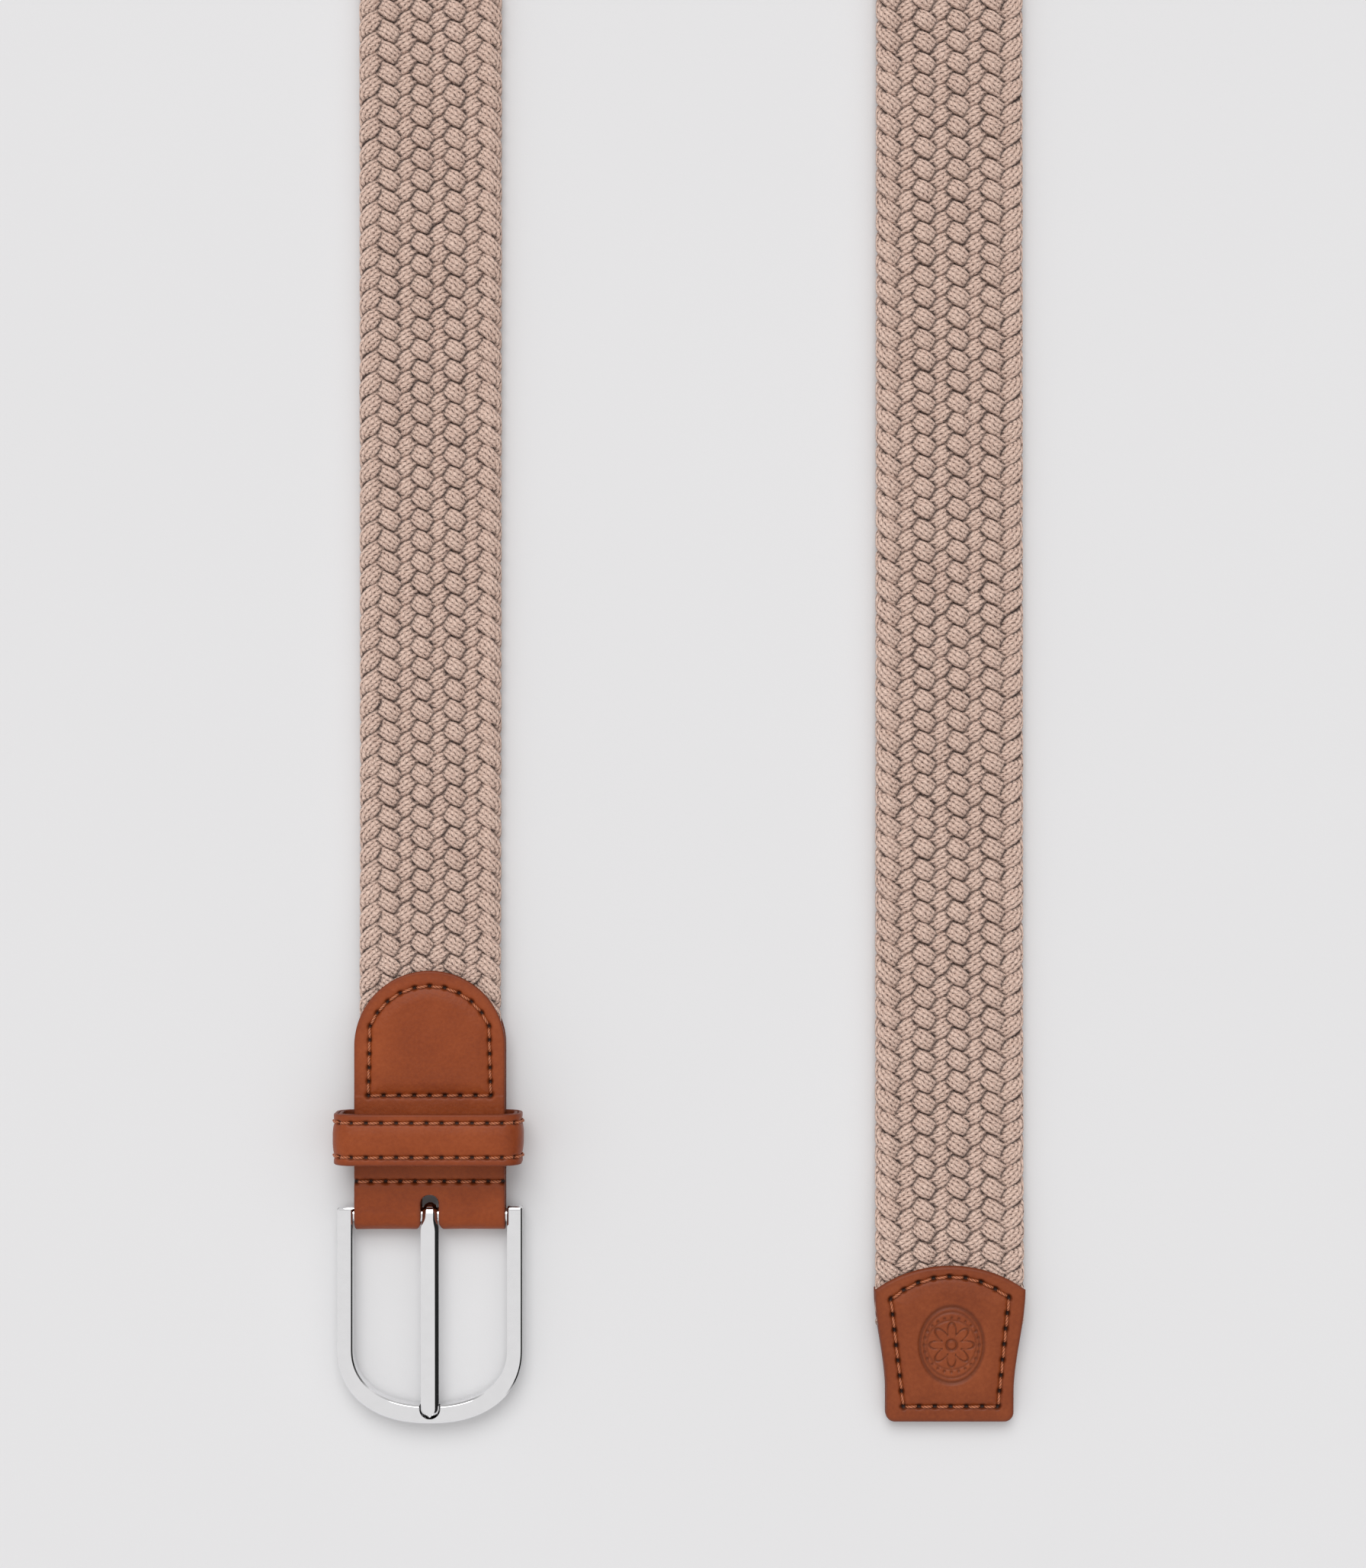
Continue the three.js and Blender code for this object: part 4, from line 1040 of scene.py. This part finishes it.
def tip_grid(step):
    """A grid over the tip's outline that is finer towards its edges."""
    near = np.array([0, 0.02, 0.06, 0.12, 0.2, 0.3, 0.45, 0.65])
    low = [0.004, 0.02, 0.07, 0.15, 0.28, 0.45, 0.65, 0.9, 1.15, 1.4, 1.65, 1.9, 2.2]
    turn = np.linspace(math.asin(TIP_SHOULDER / TIP_ARCH_RADIUS), 0.004, 64)
    arch = TIP_ARCH_Y + TIP_ARCH_RADIUS * np.cos(turn)
    y = np.concatenate([low, np.arange(2.4, TIP_SHOULDER_Y, step), arch])
    half = np.arange(-TIP_SHOULDER + 0.85, TIP_SHOULDER - 0.8, step)
    s = np.concatenate([near - TIP_SHOULDER, half, TIP_SHOULDER - near[::-1]]) / TIP_SHOULDER
    x = tip_half_width(y)[:, None] * s[None]
    return x, np.broadcast_to(y[:, None], x.shape)


def build_tip_front(seam):
    x, y = tip_grid(0.2)
    distance, within, edge = segment_distance(x, y, seam), inside(x, y, seam), tip_edge(x, y)
    marks = holes_field(x, y, with_directions(seam), 0.86, 0.62)
    puff = np.where(within, 0.5 * smooth(distance / 4), -0.18 * smooth(distance / 2.5))
    pressed = ornament(x, y) * smooth((distance - 0.8) / 1.2) * within
    relief = puff - 0.32 * bell(distance, 0.75) - 0.7 * marks - 0.42 * pressed
    relief += (ripple(x, y, 21, 12) * 0.08 + ripple(x, y, 22, 4.5) * 0.03) * smooth(edge / 3)
    top = np.stack([x, y, tip_top(y) + relief - edge_drop(edge, 0.85)], -1)
    low = np.stack([x, y, tip_top(y) - LEATHER + edge_drop(edge, 0.2)], -1)
    # Painted shade in the needle holes, and the pressed ornament's lines darkened with the same mark
    hole = np.clip(marks + 0.42 * pressed, 0, 1)
    fields = face_marks((hole, 0 * hole), (wear_and_shade(edge, 0.6), 1 + 0 * x))
    obj = new_object("tip_front_leather", pillow(top, low), TIP_TAN, TAIL_END, fields)
    add_piece(obj, "belt", "tip_front")


def build_tip_back(seam):
    x, y = tip_grid(0.45)
    edge = tip_edge(x, y)
    # Needle hole marks: dents on the back face, and painted shade in its holes
    marks = holes_field(x, y, with_directions(seam), 0.60, 0.50)
    groove = 0.2 * bell(segment_distance(x, y, seam), 0.6)
    top = np.stack([x, y, LEATHER - edge_drop(edge, 0.2)], -1)
    low = np.stack([x, y, groove + 0.4 * marks + edge_drop(edge, 0.4)], -1)
    wear = wear_and_shade(edge, 0.6)
    fields = face_marks((0 * marks, marks), (wear, wear))
    obj = new_object("tip_back_leather", pillow(top, low), DARK_TAN, TAIL_END, fields)
    add_piece(obj, "belt", "tip_back")


def build_tip():
    seam = tip_holes()
    build_tip_front(seam)
    build_tip_back(seam)
    flat_rows("tip", seam, TAIL_END, lambda y: tip_top(y) - TIP_THREAD_SUNK)
    slab("tip_core_board", lambda y: tip_half_width(y) - CORE_INSET, CORE_INSET, TIP_CORE_TOP,
         LEATHER + GLUE_GAP, lambda y: tip_top(y) - LEATHER - GLUE_GAP, TAIL_END, "tip_core")


# ---- Buckle --------------------------------------------------------------------------------

def frame_outlines():
    """Matching inner and outer points round the frame from one arm's end to the other's."""
    arms = np.linspace(FRAME_ARM_TOP, FRAME_BOW_Y, 40)[:-1]
    angles = np.linspace(math.pi, 2 * math.pi, 121)
    power = 2 / BOW_FULLNESS

    def run(half, bow):
        left = [(-half, y) for y in arms]
        curve = [(half * math.copysign(abs(math.cos(a)) ** power, math.cos(a)),
                  FRAME_BOW_Y - bow * max(-math.sin(a), 0) ** power) for a in angles]
        return np.array(left + curve + [(half, y) for y in arms[::-1]])

    return run(FRAME_INNER, FRAME_INNER_BOW), run(FRAME_OUTER, FRAME_OUTER_BOW)


def frame_section():
    """The frame's section as (side, top or bottom, offset in, offset down) of each point."""
    upper = [(-0.50, 0.0), (-0.40, -0.03), (-0.05, -0.33), (0.0, -0.44)]
    lower = [(0.0, 0.5), (-0.07, 0.25), (-0.25, 0.07), (-0.5, 0.0)]
    right = [(1, 1, dx, dz) for dx, dz in upper] + [(1, -1, dx, dz) for dx, dz in lower]
    left = [(-1, sz, -dx, dz) for _, sz, dx, dz in right[::-1]]
    return right + left


def build_buckle_frame():
    inner, outer = frame_outlines()
    middle, half = (inner + outer) / 2, (outer - inner) / 2
    half_height, centre = (FRAME_HIGH - FRAME_LOW) / 2, (FRAME_HIGH + FRAME_LOW) / 2
    rings = []
    for m, a, w in zip(middle, unit(half), np.linalg.norm(half, axis=1)):
        rings.append([(*(m + a * (sx * w + dx)), centre + sz * half_height + dz)
                      for sx, sz, dx, dz in frame_section()])
    rings = rounded_ends(np.array(rings), middle, centre)
    obj = new_object("buckle_horseshoe", sweep(rings), CHROME, BUCKLE_END)
    cut_away(obj, [notch_cutter(), socket_cutter()])
    add_piece(obj, "buckle", "buckle_frame")


def rounded_ends(rings, middle, centre):
    """Closes both arms with shrinking copies of their end rings.

    All copies shrink towards the end of the last arm. Those of the first arm so form a wedge that
    closes the narrow gap beside the leather and runs in between its plies."""
    hub = np.append(middle[-1], centre)
    domes = []
    for ring in (rings[0], rings[-1]):
        dome = []
        for a in np.linspace(0, math.pi / 2 - 0.12, 8):
            shrink = 0.62 + 0.38 * math.cos(a)
            dome.append(hub + (ring - hub) * shrink + [0, ARM_END_ROUND * math.sin(a) - ARM_END_ROUND, 0])
        domes.append(dome)
    return np.concatenate([domes[0][::-1], rings[1:-1], domes[1]])


def notch_cutter():
    """A slot with a round lower end, whose walls open out towards the top."""
    levels = [(NOTCH_FLOOR, -0.3), (NOTCH_FLOOR + 0.1, -0.1), (NOTCH_FLOOR + 0.3, 0), (FRAME_HIGH - 0.35, 0),
              (FRAME_HIGH - 0.12, 0.06), (FRAME_HIGH + 0.05, 0.22), (FRAME_HIGH + 0.3, 0.5)]
    rings = []
    for z, grow in levels:
        r = NOTCH_HALF + grow
        arc = [(r * math.cos(a), NOTCH_LOW_Y + NOTCH_HALF + r * math.sin(a))
               for a in np.linspace(-math.pi, 0, 25)]
        rings.append([(x, y, z) for x, y in [*arc, (r, NOTCH_OPEN_Y), (-r, NOTCH_OPEN_Y)]])
    return new_object("notch_cutter", sweep(np.array(rings)), CHROME, BUCKLE_END)


def socket_cutter():
    """The holes in both arms that hold the bar."""
    half_length = FRAME_INNER + BAR_IN_ARM + SOCKET_DEEPER
    return cylinder("socket_cutter", half_length, BAR_RADIUS + SOCKET_PLAY, 0, CHROME)


def cylinder(name, half_length, radius, chamfer, material):
    """A rod on the bar's axis."""
    stations = [(-half_length, radius), (half_length, radius)]
    if chamfer:
        stations = [(-half_length, radius - chamfer), (-half_length + chamfer, radius), (0, radius),
                    (half_length - chamfer, radius), (half_length, radius - chamfer)]
    centres = np.array([(x, 0, FOLD_RADIUS) for x, _ in stations])
    radii = np.array([r for _, r in stations])[:, None, None]
    rings = round_section(centres, radii * [0, 1, 0], radii * [0, 0, 1], 48)
    return new_object(name, sweep(rings), material, BUCKLE_END, crease=30)


def prong_stations():
    """Outer face, outward direction, thickness and half width from the curl's end to the tip."""
    stations = []
    for a in np.radians(np.linspace(-75, 90, 48)):
        out = np.array([0, math.cos(a), math.sin(a)])
        barrel = smooth((math.degrees(a) < 62) * (62 - math.degrees(a)) / 40)
        place = np.array([0, 0, FOLD_RADIUS]) + out * CURL_OUTER
        stations.append((place, out, CURL_OUTER - CURL_INNER, ROOT_HALF - 0.35 * barrel))
    root, above = FOLD_RADIUS + CURL_OUTER, np.array([0, 0, 1.0])
    for t in np.linspace(0.02, 1, 50):
        y = (PRONG_TIP_Y + PRONG_HALF) * t
        z = root + (PRONG_TIP_TOP - root) * smooth(t * 1.02)
        half = ROOT_HALF + (PRONG_HALF - ROOT_HALF) * smooth((-y - 0.8) / 2.6)
        thickness = CURL_OUTER - CURL_INNER + (PRONG_THICKNESS - CURL_OUTER + CURL_INNER) * smooth(t * 6)
        stations.append((np.array([0, y, z]), above, thickness, half))
    for r in np.sin(np.linspace(0.08, math.pi / 2 * 0.985, 20)):
        y, droop = PRONG_TIP_Y + PRONG_HALF * (1 - r), PRONG_DROOP * r ** 6
        stations.append((np.array([0, y, PRONG_TIP_TOP - droop]), above, PRONG_THICKNESS - droop,
                         PRONG_HALF * math.sqrt(1 - r * r)))
    return stations


def build_prong():
    rings = []
    for place, out, thickness, half in prong_stations():
        k = half / PRONG_HALF
        slope = min(PRONG_BEVEL, 0.95 * half)
        face, deep = half - slope, min(0.74, 0.55 * thickness) * min(1, slope / PRONG_BEVEL)
        upper = [(face - 0.05, 0), (face + 0.03, 0.03), (half - 0.03, deep), (half, deep + 0.08 * k),
                 (half, thickness - 0.25), (half - 0.2 * k, thickness)]
        outline = upper + [(-x, d) for x, d in upper[::-1]]
        rings.append([place + [x, 0, 0] - out * d for x, d in outline])
    obj = new_object("prong_bar", sweep(np.array(rings)), CHROME, BUCKLE_END, crease=14)
    add_piece(obj, "prong", "prong")


def build_buckle():
    build_buckle_frame()
    bar = cylinder("buckle_round_bar", FRAME_INNER + BAR_IN_ARM, BAR_RADIUS, BAR_CHAMFER, STEEL)
    add_piece(bar, "buckle", "buckle_bar")
    build_prong()


# ---- Build everything ----------------------------------------------------------------------

build_braid()
build_chape()
build_chape_stitches()
slab("chape_filler_board", level(CHAPE_HALF - 0.1), FILLER_LOW, FILLER_HIGH, LEATHER + GLUE_GAP,
     level(2 * FOLD_RADIUS - LEATHER - GLUE_GAP), BUCKLE_END, "chape_filler")
build_keeper()
build_tip()
build_buckle()

# ---- Floor, light and camera, in metres ----------------------------------------------------

FLOOR_REACH, FLOOR_Z, WORLD_STRENGTH = 12.0, -0.0004, 0.80
CAMERA_PLACE, SENSOR_WIDTH, LENS = (0.0006, -0.1364, 0.750), 36, 36 * 744 / 363.4


def build_floor():
    mesh = bpy.data.meshes.new("table_top")
    corners = [(x * FLOOR_REACH, y * FLOOR_REACH, 0) for x, y in ((-1, -1), (1, -1), (1, 1), (-1, 1))]
    mesh.from_pydata(corners, [], [(0, 1, 2, 3)])
    mesh.materials.append(floor_material())
    floor = bpy.data.objects.new("table_top", mesh)
    floor.location.z = FLOOR_Z
    bpy.context.scene.collection.objects.link(floor)


def build_world():
    """A light tent: bright overhead, with a dark gap low on the +X side and a fainter one at +Y.

    The gaps only show in the metal and as softer light. Seen directly, the tent is plain."""
    world = bpy.data.worlds.new("studio")
    world.use_nodes = True
    bpy.context.scene.world = world
    s = Nodes(world.node_tree)
    x, y, z = s.split(s.coordinates("Generated"))
    low = s.ramp(z, (0.30, grey(1)), (0.46, grey(0)))
    right = s.ramp(x, (0.62, grey(0)), (0.80, grey(1)))
    very_low = s.ramp(z, (0.22, grey(1)), (0.42, grey(0)))
    far = s.ramp(y, (0.70, grey(0)), (0.85, grey(0.9)))
    gap = s.math("MAXIMUM", s.times(low, right), s.times(very_low, far))
    tent = s.mix(gap, (0.985, 0.975, 0.975, 1), grey(0.02))
    seen = s.mix(s.node("ShaderNodeLightPath").outputs["Is Camera Ray"], tent, grey(0.98))
    background = world.node_tree.nodes["Background"]
    s.link(seen, background.inputs["Color"])
    s.link(WORLD_STRENGTH, background.inputs["Strength"])

def soft_sun(name, elevation, azimuth, strength, spread):
    """A broad, even light. Azimuth 0 comes from +Y and 90 from +X."""
    data = bpy.data.lights.new(name, "SUN")
    data.energy, data.angle = strength, math.radians(spread)
    sun = bpy.data.objects.new(name, data)
    e, a = math.radians(elevation), math.radians(azimuth)
    towards = Vector((-math.sin(a) * math.cos(e), -math.cos(a) * math.cos(e), -math.sin(e)))
    sun.rotation_euler = towards.to_track_quat("-Z", "Y").to_euler()
    bpy.context.scene.collection.objects.link(sun)


def build_camera():
    """Straight above the buckle and the tip, far enough that the whole width is seen."""
    data = bpy.data.cameras.new("camera")
    data.sensor_width, data.lens = SENSOR_WIDTH, LENS
    camera = bpy.data.objects.new("camera", data)
    camera.location = CAMERA_PLACE
    bpy.context.scene.collection.objects.link(camera)
    bpy.context.scene.camera = camera


build_floor()
build_world()
soft_sun("window", 52, -8, 1.15, 40)
build_camera()
bpy.context.scene.view_settings.view_transform = "Standard"
